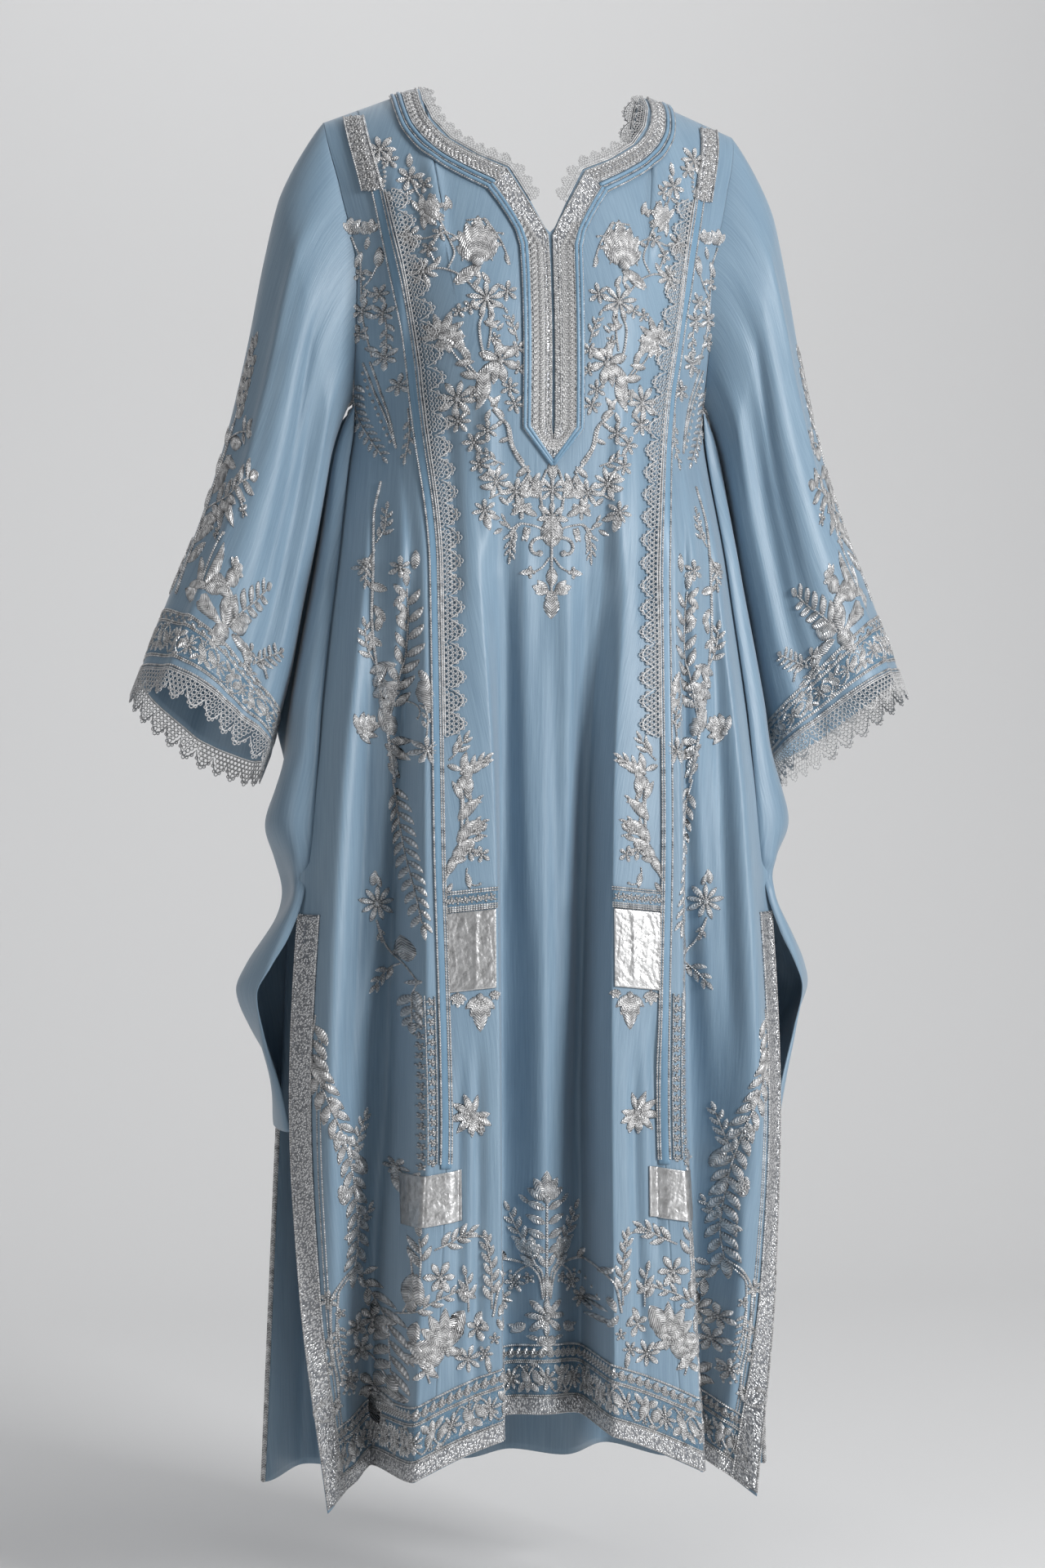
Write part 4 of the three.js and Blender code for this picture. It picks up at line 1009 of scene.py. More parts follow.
@frozen
class Curl:
    """A tendril that turns as it runs, with a bead at its end."""

    x: float
    z: float
    heading: float
    length: float
    turn: float
    width: float = 0.75

    def stitch(self, work: Needlework) -> None:
        """Add the tendril: each step turns more than the one before."""
        s = np.linspace(0, 1, max(int(self.length / 1.6), 5))
        angle = np.radians(self.heading + self.turn * s**1.6)
        step = self.length / (len(s) - 1)
        x = self.x + np.concatenate([[0.0], np.cumsum(np.cos(angle[:-1]) * step)])
        z = self.z + np.concatenate([[0.0], np.cumsum(np.sin(angle[:-1]) * step)])
        work.tube(np.stack([x, z], -1), self.width)
        work.bead(float(x[-1]), float(z[-1]), self.width * 1.9)


@frozen
class Beads:
    """A run of beads through points."""

    points: Path
    count: int
    radius: float

    def stitch(self, work: Needlework) -> None:
        """Add evenly spaced beads."""
        for x, z in even_path(smooth_path(self.points, 1.0), self.count - 1):
            work.bead(float(x), float(z), self.radius)


def numbers(text: str) -> list[float]:
    """The numbers of a text: whole ones stay whole."""
    return [float(word) if "." in word else int(word) for word in text.split()]


def spray_of(**kinds: str) -> tuple[Motif, ...]:
    """A spray from text.

    Args:
        kinds: for each kind of motif its rows, parted by commas. A row holds the motif's values in order.
            A motif with a path has it first, as x and z of each point, and a colon before what follows.

    Returns:
        The motifs.
    """
    motifs: list[Motif] = []
    for kind, text in kinds.items():
        make, has_path = MOTIF_KINDS[kind]
        for row in text.split(","):
            path, _, rest = row.partition(":")
            values = numbers(path)
            if has_path:
                values = [tuple(zip(values[::2], values[1::2])), *numbers(rest)]
            motifs.append(make(*values))
    return tuple(motifs)


MOTIF_KINDS = {
    "blooms": (Bloom, False), "leaves": (Leaf, False), "curls": (Curl, False),
    "stems": (Stem, True), "fronds": (Frond, True), "beads": (Beads, True),
}

# Motifs, by half width and height on the front view in millimetres

CHEST = spray_of(
    blooms="""
    134 -62 13 7 80, 127 -72 8 5 20, 112 -89 11 6 110, 101 -96 7 5 60, 103 -120 17 7 160 210,
    101 -122 12 5 200 140, 113 -139 10 6 70, 90 -139 7 5 30, 103 -170 12 7 100, 99 -151 7 5 50,
    61 -163 34 5 93 64 .36, 61 -163 24 4 93 90 .4, 55 -195 15 9 90, 38 -189 9 6 40, 68 -202 7 5 120,
    77 -205 6 5 20, 48 -228 5 5 0, 90 -225 19 7 110 220, 88 -226 12 5 250 120, 79 -233 15 4 60 90,
    44 -246 17 6 80, 30 -236 7 5 60, 29 -252 6 5 10, 77 -276 15 8 100, 76 -294 10 7 80, 66 -272 6 5 0,
    36 -268 8 6 30, 32 -281 8 6 70, 54 -303 9 6 90, 64 -312 9 6 60, 60 -330 8 6 20, 47 -344 13 8 60,
    30 -352 12 7 100, 56 -368 10 7 90
    """,
    leaves="""
    136 -84 -110 9, 133 -98 -60 10, 132 -99 -125 10, 112 -80 95 12, 108 -99 -30 9, 93 -122 78 17 .45,
    86 -120 110 12, 80 -118 70 12, 86 -128 20 10, 90 -158 -60 10, 83 -146 150 9, 63 -163 152 22 .42 -18,
    60 -163 28 20 .42 18, 56 -128 -20 9, 46 -138 -15 9, 40 -150 20 8, 50 -133 60 8, 38 -156 -100 10,
    62 -166 -55 22 .36 20, 58 -168 -20 24 .34 -20, 66 -167 -120 13, 52 -183 60 11, 66 -186 130 10,
    44 -198 -30 10, 41 -202 30 8, 58 -214 205 12, 49 -207 -60 12, 44 -214 -20 9, 47 -222 130 8,
    74 -240 75 15, 68 -246 60 14, 80 -248 175 14, 76 -256 190 16, 70 -260 165 12, 44 -246 -35 22 .34,
    46 -244 -80 20 .34, 40 -240 45 15, 50 -242 150 14, 56 -250 -85 32 .3 6, 52 -262 -70 24 .28 10,
    52 -284 130 12, 46 -284 50 11, 56 -296 110 10, 48 -300 140 9, 45 -312 160 10, 40 -292 40 12,
    58 -340 160 12, 60 -348 190 12, 30 -340 140 13, 56 -372 -110 12 .5, 44 -356 -140 10, 20 -340 -70 16,
    14 -338 -95 18
    """,
    stems="""
    110 -92 105 -104 98 -114 90 -128 84 -142 79 -156 84 -168, 113 -139 101 -142 90 -140,
    104 -171 92 -168 80 -172 70 -180 62 -190, 98 -153 93 -166, 68 -128 56 -127 46 -138 39 -152 35 -166,
    57 -206 61 -218 60 -230 56 -246 : 1.2, 53 -206 52 -220 54 -236 : 1.0,
    86 -228 80 -240 70 -252 62 -262 56 -276, 76 -230 72 -244 62 -258, 77 -284 70 -278 62 -272,
    50 -286 44 -292 38 -298 35 -312 28 -326 19 -336 : 1.6, 46 -290 36 -300 33 -314 24 -328 : 1.1,
    19 -336 26 -346 40 -352 52 -358
    """,
    fronds="30 -230 33 -219 38 -208 : 9 7, 40 -330 50 -326 58 -320 : 9 7",
    curls="73 -163 100 42 -170, 49 -163 60 34 150",
    beads="132 -74 131 -86 133 -98 : 7 1.7",
)
UNDERARM = spray_of(
    blooms="""
    158 -130 12 4 110 110, 143 -132 11 4 80 110, 150 -166 6 4 60, 136 -184 8 6 60, 148 -196 10 6 40,
    133 -200 9 6 100, 150 -214 8 5 0, 131 -236 10 6 90, 120 -260 9 6 40
    """,
    leaves="""
    146 -146 100 10, 154 -160 110 13, 137 -162 95 16 .42,
    140 -168 30 9, 150 -188 120 10, 146 -226 200 10
    """,
    stems="""
    157 -134 150 -154 149 -178 148 -198 143 -222 140 -234, 149 -178 142 -170 137 -160,
    149 -176 142 -182 136 -184, 146 -238 137 -262 128 -288 122 -312 : 1.2,
    141 -238 133 -262 126 -288 122 -312 : 1.2
    """,
    fronds="""
    131 -204 130 -218 130 -234 : 9 8, 153 -250 150 -276 140 -302 132 -318 : 10 7 60,
    113 -280 112 -300 116 -322 : 8 9
    """,
    beads="146 -246 138 -270 131 -292 126 -306 : 11 1.9, 139 -244 131 -268 125 -292 : 9 1.4",
)
WAIST = spray_of(
    blooms="""
    150 -412 8 6 60, 123 -414 9 6 30, 155 -548 17 6 150 150, 148 -546 12 4 110 80, 104 -564 12 7 90,
    139 -690 15 9 90, 124 -908 8 6 60
    """,
    leaves="""
    112 -416 95 15, 115 -424 40 10, 132 -432 20 16, 128 -446 130 14, 134 -458 60 15, 140 -466 100 14,
    136 -478 40 13, 124 -462 110 14 .5, 106 -504 262 32 .42 -24, 109 -498 -120 14, 142 -512 110 20 .3 20,
    146 -500 150 20 .4 24, 143 -520 140 24 .42 26, 138 -532 120 22 .26 30, 127 -528 70 24 .26 -24,
    124 -520 50 22 .26 -30, 126 -552 68 24 .5 -10, 130 -556 180 16, 134 -558 215 22 .34, 130 -566 240 14,
    122 -560 -40 12, 131 -574 230 15, 143 -676 100 12 .5, 136 -677 70 10, 116 -738 80 20 .5,
    126 -732 160 12, 108 -752 -20 10, 122 -920 80 14, 118 -930 60 16, 116 -916 120 10
    """,
    stems="""
    134 -340 141 -372 143 -424 144 -452 139 -500 132 -545 127 -577 125 -590 : 1.3,
    140 -704 132 -724 118 -740 110 -754
    """,
    fronds="""
    140 -392 133 -380 131 -364 : 9 7, 141 -398 147 -408 149 -424 : 9 7,
    131 -544 122 -500 117 -482 116 -458 118 -430 : 17 14 50 .36 .2, 141 -492 148 -478 150 -462 : 12 9,
    104 -552 103 -540 105 -528 : 8 8, 127 -588 122 -612 117 -650 112 -680 108 -706 : 13 10 42 .3 .15,
    139 -708 136 -718 : 8 6, 120 -740 132 -748 140 -758 : 12 9, 111 -754 114 -766 114 -786 : 14 9 35 .4
    """,
    curls="136 -536 120 44 190",
)
PRINCESS = spray_of(
    blooms="""
    61 -630 8 4 60 150, 70 -646 8 5 40, 60 -649 7 5 0, 80 -762 10 5 270 110, 62 -764 18 5 270 100 .42,
    50 -760 7 4 270 100, 68 -860 19 7 350 230, 66 -862 14 5 250 170
    """,
    leaves="""
    78 -584 150 20 .34, 76 -580 105 14, 70 -584 -85 18 .4, 88 -576 200 12, 80 -600 110 22 .34 30,
    79 -622 120 24 .34 30, 80 -640 118 25 .34 34, 84 -656 115 24 .34 30, 88 -666 105 20 .34 26,
    74 -606 60 18 .3, 58 -634 -20 11, 72 -652 -10 14, 72 -664 -100 12, 84 -672 -60 10, 62 -764 270 26 .42,
    72 -860 178 12 .3
    """,
    stems="""
    78 -588 76 -604 76 -622 79 -646 86 -662 92 -672 : 1.3, 76 -636 66 -632 56 -634,
    79 -648 70 -644 60 -647
    """,
    fronds="""
    86 -572 80 -566 74 -556 : 13 8 38 .34, 74 -590 68 -580 58 -572 : 14 7 34 .34,
    75 -618 70 -608 64 -604 : 9 7, 75 -632 68 -624 60 -622 : 9 8
    """,
    curls="72 -660 -80 22 -150",
)
PENDANT_HALF = spray_of(
    blooms="16 -346 10 6 60, 25 -366 9 6 30, 18 -418 5 4 0",
    leaves="""
    10 -356 20 14, 16 -364 -10 16, 12 -372 30 12, 18 -381 -60 12, 22 -380 -95 12, 42 -374 10 11,
    40 -382 -30 9, 14 -417 -8 12 .4, 3 -434 20 13 .5, 3 -434 48 12 .5, 2 -432 -15 11 .5
    """,
    stems="5 -334 10 -350 8 -366 3 -382 : 1.2, 4 -384 14 -380 26 -378 34 -386, 2 -406 8 -414 15 -418",
    fronds="26 -379 34 -382 38 -376 : 10 7, 28 -380 33 -390 34 -404 : 10 6 40 .3",
    curls="3 -390 10 30 -230 1.6",
)
PENDANT_MIDDLE = spray_of(
    blooms="0 -372 13 7 90, 0 -392 9 5 90 150, 0 -434 8 5 270 160, 0 -350 11 8 90",
    leaves="0 -398 90 26 .6, 0 -430 90 16 .5, 0 -436 270 18 .6, 0 -326 270 16 .5",
    stems="0 -322 0 -380 0 -436 : 1.2",
)
HEM_HALF = spray_of(
    blooms="18 -980 12 5 130 140, 24 -1007 8 6 60, 34 -1021 9 7 90, 14 -1002 5 5 0",
    leaves="""
    1 -944 22 15, 1 -956 24 15, 1 -968 26 15, 1 -980 30 14, 14 -940 45 9, 1 -992 60 12, 44 -1010 -70 12,
    50 -1024 -120 12, 46 -1030 -160 11, 40 -994 50 10, 30 -989 60 10, 16 -1040 -40 13 .5, 19 -1046 20 10,
    6 -1052 10 9
    """,
    stems="""
    3 -1018 6 -1000 16 -990 34 -988 48 -1000 53 -1022 : 1.1,
    2 -1016 4 -996 10 -990 22 -998 26 -1006
    """,
    fronds="6 -996 14 -978 22 -962 28 -948 : 13 9",
    beads="27 -998 36 -1004 40 -1014 : 5 1.6",
)
HEM_MIDDLE = spray_of(
    blooms="0 -936 20 5 90 120, 0 -1033 17 8 90, 0 -1033 10 6 70, 0 -1050 11 3 270 110",
    leaves="0 -934 90 20 .5, 0 -1016 90 20 .24",
    stems="0 -934 0 -980 0 -1018 : 1.2",
)
TUBE_SPRAY = spray_of(
    blooms="""
    96 -990 13 6 60, 93 -1047 8 6 0, 74 -1056 11 7 60, 111 -1056 15 5 110 220, 66 -1032 10 5 30,
    60 -1052 7 6 60, 52 -1040 5 5 20
    """,
    leaves="""
    120 -1016 98 26 .3, 112 -1014 85 24 .3, 98 -1000 130 10, 66 -1008 30 12, 62 -1018 -60 12,
    93 -1045 92 28 .32, 94 -1045 122 30 .5, 92 -1045 62 26 .34, 91 -1046 36 24 .4, 92 -1048 8 26 .44,
    92 -1049 -22 28 .5, 95 -1048 190 18 .36, 97 -1046 160 16 .36, 108 -1064 -40 12, 112 -1060 215 16,
    118 -1044 100 17, 57 -1034 60 10, 56 -1068 80 14 .3
    """,
    stems="76 -958 62 -958 54 -968, 117 -976 116 -998 122 -1022 : 1.1, 110 -1058 105 -1074",
    fronds="""
    112 -990 111 -974 112 -958 : 16 11 40 .34, 100 -968 86 -962 72 -954 : 14 9 46,
    54 -1016 54 -990 58 -962 : 13 10 38, 126 -1026 112 -1016 98 -1008 84 -1003 : 13 12,
    73 -1018 73 -1004 75 -990 : 13 10 46
    """,
)
SLIT_VINE = spray_of(
    blooms="""
    176 -884 10 5 160 160, 172 -930 11 5 170 140, 154 -1043 11 6 40, 139 -1039 13 6 100, 150 -1063 12 6 60,
    137 -1096 16 6 100, 180 -1017 8 6 30, 170 -1028 5 5 0, 182 -1054 8 5 60, 182 -1072 9 5 20,
    161 -1086 10 7 90, 176 -1106 9 7 30
    """,
    leaves="""
    184 -838 60 20 .4, 174 -866 75 18 .34, 146 -916 60 20 .4, 150 -940 65 18 .4, 168 -966 170 16,
    142 -1108 240 20 .4, 136 -1110 270 20 .42, 148 -1102 190 16, 148 -1000 160 12, 146 -1012 60 12
    """,
    stems="""
    131 -1082 138 -1072 149 -1064, 157 -992 168 -1000 178 -1021 177 -1058 171 -1088 170 -1106 : 1.2,
    160 -996 172 -1012 173 -1052 167 -1090 : 1.0
    """,
    fronds="""
    190 -782 193 -812 183 -848 168 -884 158 -926 154 -968 157 -992 : 17 12 46 .36 .1,
    163 -906 156 -888 149 -868 : 12 9, 157 -962 148 -952 144 -946 : 11 8,
    154 -1002 140 -1018 130 -1040 129 -1078 : 15 12 46 .38 .1, 172 -1036 170 -1056 165 -1074 : 8 6 70
    """,
    curls="170 -1102 280 44 260 1.7",
    beads="154 -1084 158 -1098 166 -1096 : 6 1.6",
)
SLEEVE_VINE = spray_of(
    blooms="""
    80 150 6 5 0, 52 116 6 5 0, 4 94 11 4 120 110,
    5 80 11 4 118 110, 88 104 11 4 80 110, 126 64 9 5 20
    """,
    leaves="""
    54 203 60 15 .55, 54 203 8 14 .55, 48 200 105 12 .5, 47 199 -30 11 .5, 25 182 14 25 .39 12,
    24 170 -10 24 .31 24, 18 176 130 20 .4, 20 138 68 36 .41, 48 144 -28 27 .39, 40 138 -48 22 .5,
    18 112 40 27 .39 -30, 18 98 62 30 .33 -50, 22 84 50 24 .39, 16 152 128 22 .42, 14 126 132 22 .42,
    64 74 66 36 .23 34, 66 72 38 24 .41, 58 72 120 25 .34 20, 12 62 102 20 .31, 4 60 112 20 .4,
    16 76 150 14, 36 66 -2 56 .23 -16, 40 70 16 29 .28 -20, 98 62 -115 18 .6, 66 84 14 30 .39 -46,
    90 84 -80 24 .47, 99 62 52 24 .48, 95 60 -100 22 .5, 102 58 12 24 .39, 84 88 70 20 .5, 116 62 -30 16 .5
    """,
    stems="26 60 20 90 18 124 20 160 24 196 : 1.4, 24 184 40 196 54 203, 66 157 80 150",
    fronds="""
    24 194 27 226 32 264 : 19 12 44 .42 .15, 20 126 44 142 64 158 78 176 : 19 14 50 .42 .2,
    97 58 105 84 116 108 126 128 : 18 13 46 .42, 134 58 146 78 155 98 : 12 9, 118 56 130 50 140 50 : 10 9
    """,
    curls="62 74 104 46 -50 1.0, 70 82 40 34 -160 1.2, 150 60 110 26 200 1.1",
)
SLEEVE_BACK_VINE = spray_of(
    blooms="-46 66 13 7 120, -86 68 11 7 90",
    leaves="-60 60 170 20 .5, -76 58 120 18 .5, -30 70 30 20 .5",
    fronds="""
    -40 56 -34 96 -30 140 -24 190 : 18 14 46 .4 .2, -52 56 -70 78 -84 104 : 15 12,
    -96 54 -112 70 -122 92 : 12 10
    """,
)


# Finishes


class Nodes:
    """A short hand for building one node tree."""

    def __init__(self, tree: bpy.types.NodeTree) -> None:
        """Keep the tree that the nodes go to."""
        self.tree = tree

    def add(self, kind: str, **settings: object) -> bpy.types.Node:
        """Add a node and set its own properties."""
        node = self.tree.nodes.new(kind)
        for key, value in settings.items():
            setattr(node, key, value)
        return node

    def link(self, source: Socket, target: Socket) -> None:
        """Join two sockets."""
        self.tree.links.new(source, target)

    def maths(self, operation: str, a: object, b: object = None, c: object = None) -> Socket:
        """A math node whose inputs are sockets or numbers; returns its output."""
        node = self.add("ShaderNodeMath", operation=operation)
        for slot, value in zip(node.inputs, (a, b, c)):
            if isinstance(value, Socket):
                self.link(value, slot)
            elif value is not None:
                slot.default_value = value
        return node.outputs[0]

    def ramp(self, source: Socket, low: float, high: float) -> Socket:
        """A value stretched so that low becomes 0 and high becomes 1."""
        node = self.add("ShaderNodeMapRange")
        self.link(source, node.inputs["Value"])
        node.inputs["From Min"].default_value = low
        node.inputs["From Max"].default_value = high
        return node.outputs["Result"]

    def blend(self, mask: Socket, a: object, b: object) -> Socket:
        """A colour mix from a to b by a mask; a and b are colours or sockets."""
        node = self.add("ShaderNodeMix", data_type="RGBA")
        self.link(mask, node.inputs[0])
        for slot, value in ((node.inputs[6], a), (node.inputs[7], b)):
            if isinstance(value, Socket):
                self.link(value, slot)
            else:
                slot.default_value = (*value, 1)
        return node.outputs[2]

    def noise(self, vector: Socket, scale: float, detail: float = 2) -> Socket:
        """A noise value over a vector."""
        node = self.add("ShaderNodeTexNoise")
        self.link(vector, node.inputs["Vector"])
        node.inputs["Scale"].default_value = scale
        node.inputs["Detail"].default_value = detail
        return node.outputs["Fac"]

    def stretched(self, vector: Socket, scale: Triple):
        """A vector multiplied along each axis."""
        node = self.add("ShaderNodeVectorMath", operation="MULTIPLY")
        self.link(vector, node.inputs[0])
        node.inputs[1].default_value = scale
        return node.outputs[0]

    def placed(self, tree: bpy.types.NodeTree, vector: Socket) -> Inputs:
        """A node group fed with a vector; returns its outputs."""
        node = self.add("ShaderNodeGroup", node_tree=tree)
        self.link(vector, node.inputs[0])
        return node.outputs


def group(name: str, outputs: Sequence[str], build: Callable[[Nodes, Socket], Sequence]):
    """A shader node group that turns a vector into values.

    Args:
        name: the group's name.
        outputs: names of its float outputs.
        build: makes the nodes from the group's vector and returns one socket for each output.

    Returns:
        The node tree, made once and kept.
    """
    if name in bpy.data.node_groups:
        return bpy.data.node_groups[name]
    tree = bpy.data.node_groups.new(name, "ShaderNodeTree")
    tree.interface.new_socket("Vector", in_out="INPUT", socket_type="NodeSocketVector")
    for output in outputs:
        tree.interface.new_socket(output, in_out="OUTPUT", socket_type="NodeSocketFloat")
    nodes = Nodes(tree)
    start = nodes.add("NodeGroupInput")
    end = nodes.add("NodeGroupOutput")
    for socket, target in zip(build(nodes, start.outputs[0]), end.inputs):
        nodes.link(socket, target)
    return tree


def crinkle(nodes: Nodes, vector: Socket) -> Sequence:
    """Crepe crinkle: fine long grains along v, over a slow cloudiness and a close weave."""
    grain = nodes.noise(nodes.stretched(vector, (520, 22, 1)), 1, 3)
    hair = nodes.noise(nodes.stretched(vector, (1500, 90, 1)), 1, 1)
    cloud = nodes.noise(nodes.stretched(vector, (26, 5, 1)), 1, 2)
    height = nodes.maths("ADD", nodes.maths("MULTIPLY", grain, 0.7), nodes.maths("MULTIPLY", hair, 0.3))
    tone = nodes.maths("ADD", nodes.maths("MULTIPLY", grain, 0.55), nodes.maths("MULTIPLY", cloud, 0.45))
    return height, tone


def couching(nodes: Nodes, vector: Socket) -> Sequence:
    """Metal thread: stitches slanting across v, whose wave is also used as painted shade between them, and a
    tarnish.
    """
    split = nodes.add("ShaderNodeSeparateXYZ")
    nodes.link(vector, split.inputs[0])
    aside = nodes.maths("ABSOLUTE", split.outputs["Y"])
    slant = nodes.maths("MULTIPLY_ADD", split.outputs["X"], 2900, nodes.maths("MULTIPLY", aside, 2700))
    stitch = nodes.maths("MULTIPLY_ADD", nodes.maths("SINE", slant), 0.5, 0.5)
    grime = nodes.noise(vector, 160, 3)
    return stitch, nodes.ramp(grime, 0.35, 0.7)


@frozen
class Finish:
    """A surface finish. deep and light are the ends of its colour; coordinates come from the UV map."""

    name: str
    deep: Triple
    light: Triple
    roughness: float
    metallic: float = 0.0
    sheen: float = 0.0
    bump: float = 0.3
    grain: float = 0.0004

    def material(self) -> Material:
        """Build the material: the kind of finish dresses the shader and gives the height of its bump."""
        material = bpy.data.materials.new(self.name)
        material.use_nodes = True
        nodes = Nodes(material.node_tree)
        shader = material.node_tree.nodes["Principled BSDF"].inputs
        shader["Roughness"].default_value = self.roughness
        shader["Metallic"].default_value = self.metallic
        shader["Sheen Weight"].default_value = self.sheen
        shader["Sheen Roughness"].default_value = SHEEN_ROUGHNESS
        bump = nodes.add("ShaderNodeBump")
        bump.inputs["Strength"].default_value = self.bump
        bump.inputs["Distance"].default_value = self.grain
        uv = nodes.add("ShaderNodeUVMap", uv_map="UVMap").outputs[0]
        nodes.link(self.dress(nodes, shader, uv), bump.inputs["Height"])
        nodes.link(bump.outputs[0], shader["Normal"])
        return material

    def tint(self, nodes: Nodes, shader: Inputs, mask: Socket) -> None:
        """Colour the shader from deep to light by a mask."""
        nodes.link(nodes.blend(mask, self.deep, self.light), shader["Base Color"])

    def dress(self, nodes: Nodes, shader: Inputs, uv: Socket) -> Socket:
        """Colour the shader and return the height of its relief."""
        raise NotImplementedError


@frozen
class Silk(Finish):
    """Crinkled silk crepe."""

    def dress(self, nodes: Nodes, shader: Inputs, uv: Socket) -> Socket:
        """Crinkle in tone and bump."""
        fold = nodes.placed(group("crepe_crinkle", ("Height", "Tone"), crinkle), uv)
        self.tint(nodes, shader, nodes.ramp(fold["Tone"], 0.3, 0.7))
        return fold["Height"]


@frozen
class MetalThread(Finish):
    """Couched silver thread, for raised leaves, cords and bands."""

    def dress(self, nodes: Nodes, shader: Inputs, uv: Socket) -> Socket:
        """Stitches in bump, and in colour as painted shade between them and painted highlight on their tops;
        tarnish in colour.
        """
        thread = nodes.placed(group("couched_thread", ("Stitch", "Tarnish"), couching), uv)
        worn = nodes.maths("MULTIPLY", thread["Tarnish"], 0.75)
        # Painted shade between the stitches and painted highlight on their tops, over the tarnish.
        stitch_shade_and_tarnish = nodes.maths("MULTIPLY_ADD", thread["Stitch"], 0.35, worn)
        self.tint(nodes, shader, nodes.ramp(stitch_shade_and_tarnish, 0.05, 0.95))
        return thread["Stitch"]


@frozen
class Foil(Finish):
    """Crumpled silver tissue."""

    def dress(self, nodes: Nodes, shader: Inputs, uv: Socket) -> Socket:
        """Sharp crumples in bump and roughness."""
        coarse = nodes.noise(nodes.stretched(uv, (140, 110, 1)), 1, 6)
        fine = nodes.noise(nodes.stretched(uv, (420, 260, 1)), 1, 4)
        self.tint(nodes, shader, nodes.ramp(coarse, 0.3, 0.7))
        nodes.link(nodes.maths("MULTIPLY_ADD", fine, 0.3, 0.18), shader["Roughness"])
        return nodes.maths("MULTIPLY_ADD", fine, 0.4, coarse)


@frozen
class Brocade(Finish):
    """Blue ground with silver flecks woven through it."""

    def dress(self, nodes: Nodes, shader: Inputs, uv: Socket) -> Socket:
        """The crepe's crinkle with flecks of metal thread."""
        fold = nodes.placed(group("crepe_crinkle", ("Height", "Tone"), crinkle), uv)
        ground = nodes.blend(nodes.ramp(fold["Tone"], 0.3, 0.7), self.deep, self.light)
        fleck = nodes.ramp(nodes.noise(uv, 900, 2), 0.56, 0.66)
        nodes.link(nodes.blend(fleck, ground, (0.36, 0.37, 0.38)), shader["Base Color"])
        nodes.link(nodes.maths("MULTIPLY", fleck, 0.6), shader["Metallic"])
        return fold["Height"]


@frozen
class ZariCloth(Finish):
    """A band packed with silver scrolls: chips of bright metal over a dull ground."""

    def dress(self, nodes: Nodes, shader: Inputs, uv: Socket) -> Socket:
        """Cells of bright chips with dark joints between them."""
        chips = nodes.add("ShaderNodeTexVoronoi")
        nodes.link(nodes.stretched(uv, (430, 560, 1)), chips.inputs["Vector"])
        chips.inputs["Scale"].default_value = 1
        joint = nodes.ramp(chips.outputs["Distance"], 0.75, 0.2)
        self.tint(nodes, shader, joint)
        nodes.link(nodes.maths("MULTIPLY_ADD", joint, -0.25, self.roughness), shader["Roughness"])
        return joint


class Wardrobe:
    """Every finish of the garment, built once, with a slot name for each."""

    def __init__(self) -> None:
        """Build the materials."""
        finishes = {
            "silk": Silk(
                "silk_crepe", (0.15, 0.235, 0.32), (0.225, 0.325, 0.415), 0.46,
                sheen=0.3, bump=0.5, grain=0.0006,
            ),
            "border": Brocade("brocade", (0.06, 0.13, 0.2), (0.13, 0.235, 0.33), 0.42, bump=0.4),
            "thread": MetalThread(
                "silver_thread", (0.19, 0.192, 0.2), (0.92, 0.915, 0.91), 0.29, 0.4, bump=0.9, grain=0.0009
            ),
            "zari": ZariCloth("zari_band", (0.24, 0.25, 0.27), (0.86,) * 3, 0.3, 0.55, bump=0.9, grain=0.001),
            "foil": Foil("tissue_foil", (0.38,) * 3, (0.72,) * 3, 0.36, 0.8, bump=0.55, grain=0.0012),
            "lace": MetalThread("lace_thread", (0.28, 0.28, 0.285), (0.74,) * 3, 0.46, 0.2, bump=0.4),
            "piping": Silk("piping_silk", (0.11, 0.21, 0.31), (0.2, 0.33, 0.45), 0.38, sheen=0.2, bump=0.2),
        }
        self.materials = {name: finish.material() for name, finish in finishes.items()}
        self.slots = {name: name for name in finishes} | {"thread": "relief", "piping": "silk"}

    def __getitem__(self, name: str) -> Material:
        """The material of that name."""
        return self.materials[name]


@dataclass
class Workshop:
    """Takes finished pieces: each rides on the one body."""

    finishes: Wardrobe
    pieces: list[str] = field(default_factory=list)
    cuts: list[tuple[Piece, tuple[float, float], float, str]] = field(default_factory=list)

    def finish(self, piece: Piece, finish: str, nodes: Sequence[str] = ()) -> None:
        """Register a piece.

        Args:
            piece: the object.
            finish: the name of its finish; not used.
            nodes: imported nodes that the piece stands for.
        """
        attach(piece, "root")
        if nodes:
            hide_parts(*nodes)
        self.pieces.append(piece.name)
        LOG.info("%s: %d faces", piece.name, len(piece.data.polygons))

    def panel(self, name: str, points: Array, held: str, flip: bool = False, loop: bool = False) -> None:
        """Cut a panel of silk from a grid of points and note its flat size.

        Args:
            name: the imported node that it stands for.
            points: grid in millimetres, (rows, columns, 3).
            held: how the cloth is held.
            flip: whether the faces turn the other way.
            loop: whether the grid closes on itself in a seam.
        """
        if loop:
            points = np.concatenate([points, points[:, :1]], 1)
        faces = grid_faces(*points.shape[:2], flip=flip)
        piece = sheet_object(f"{name}_cloth", points, faces, self.finishes["silk"], CLOTH)
        if loop:
            seam = piece.modifiers.new("seam", "WELD")
            seam.merge_threshold = WELD_REACH * MM
            piece.modifiers.move(1, 0)
        width, length, area = cut_size(points)
        self.cuts.append((piece, (width, length), area, held))
        self.finish(piece, "silk", [name])


# The garment


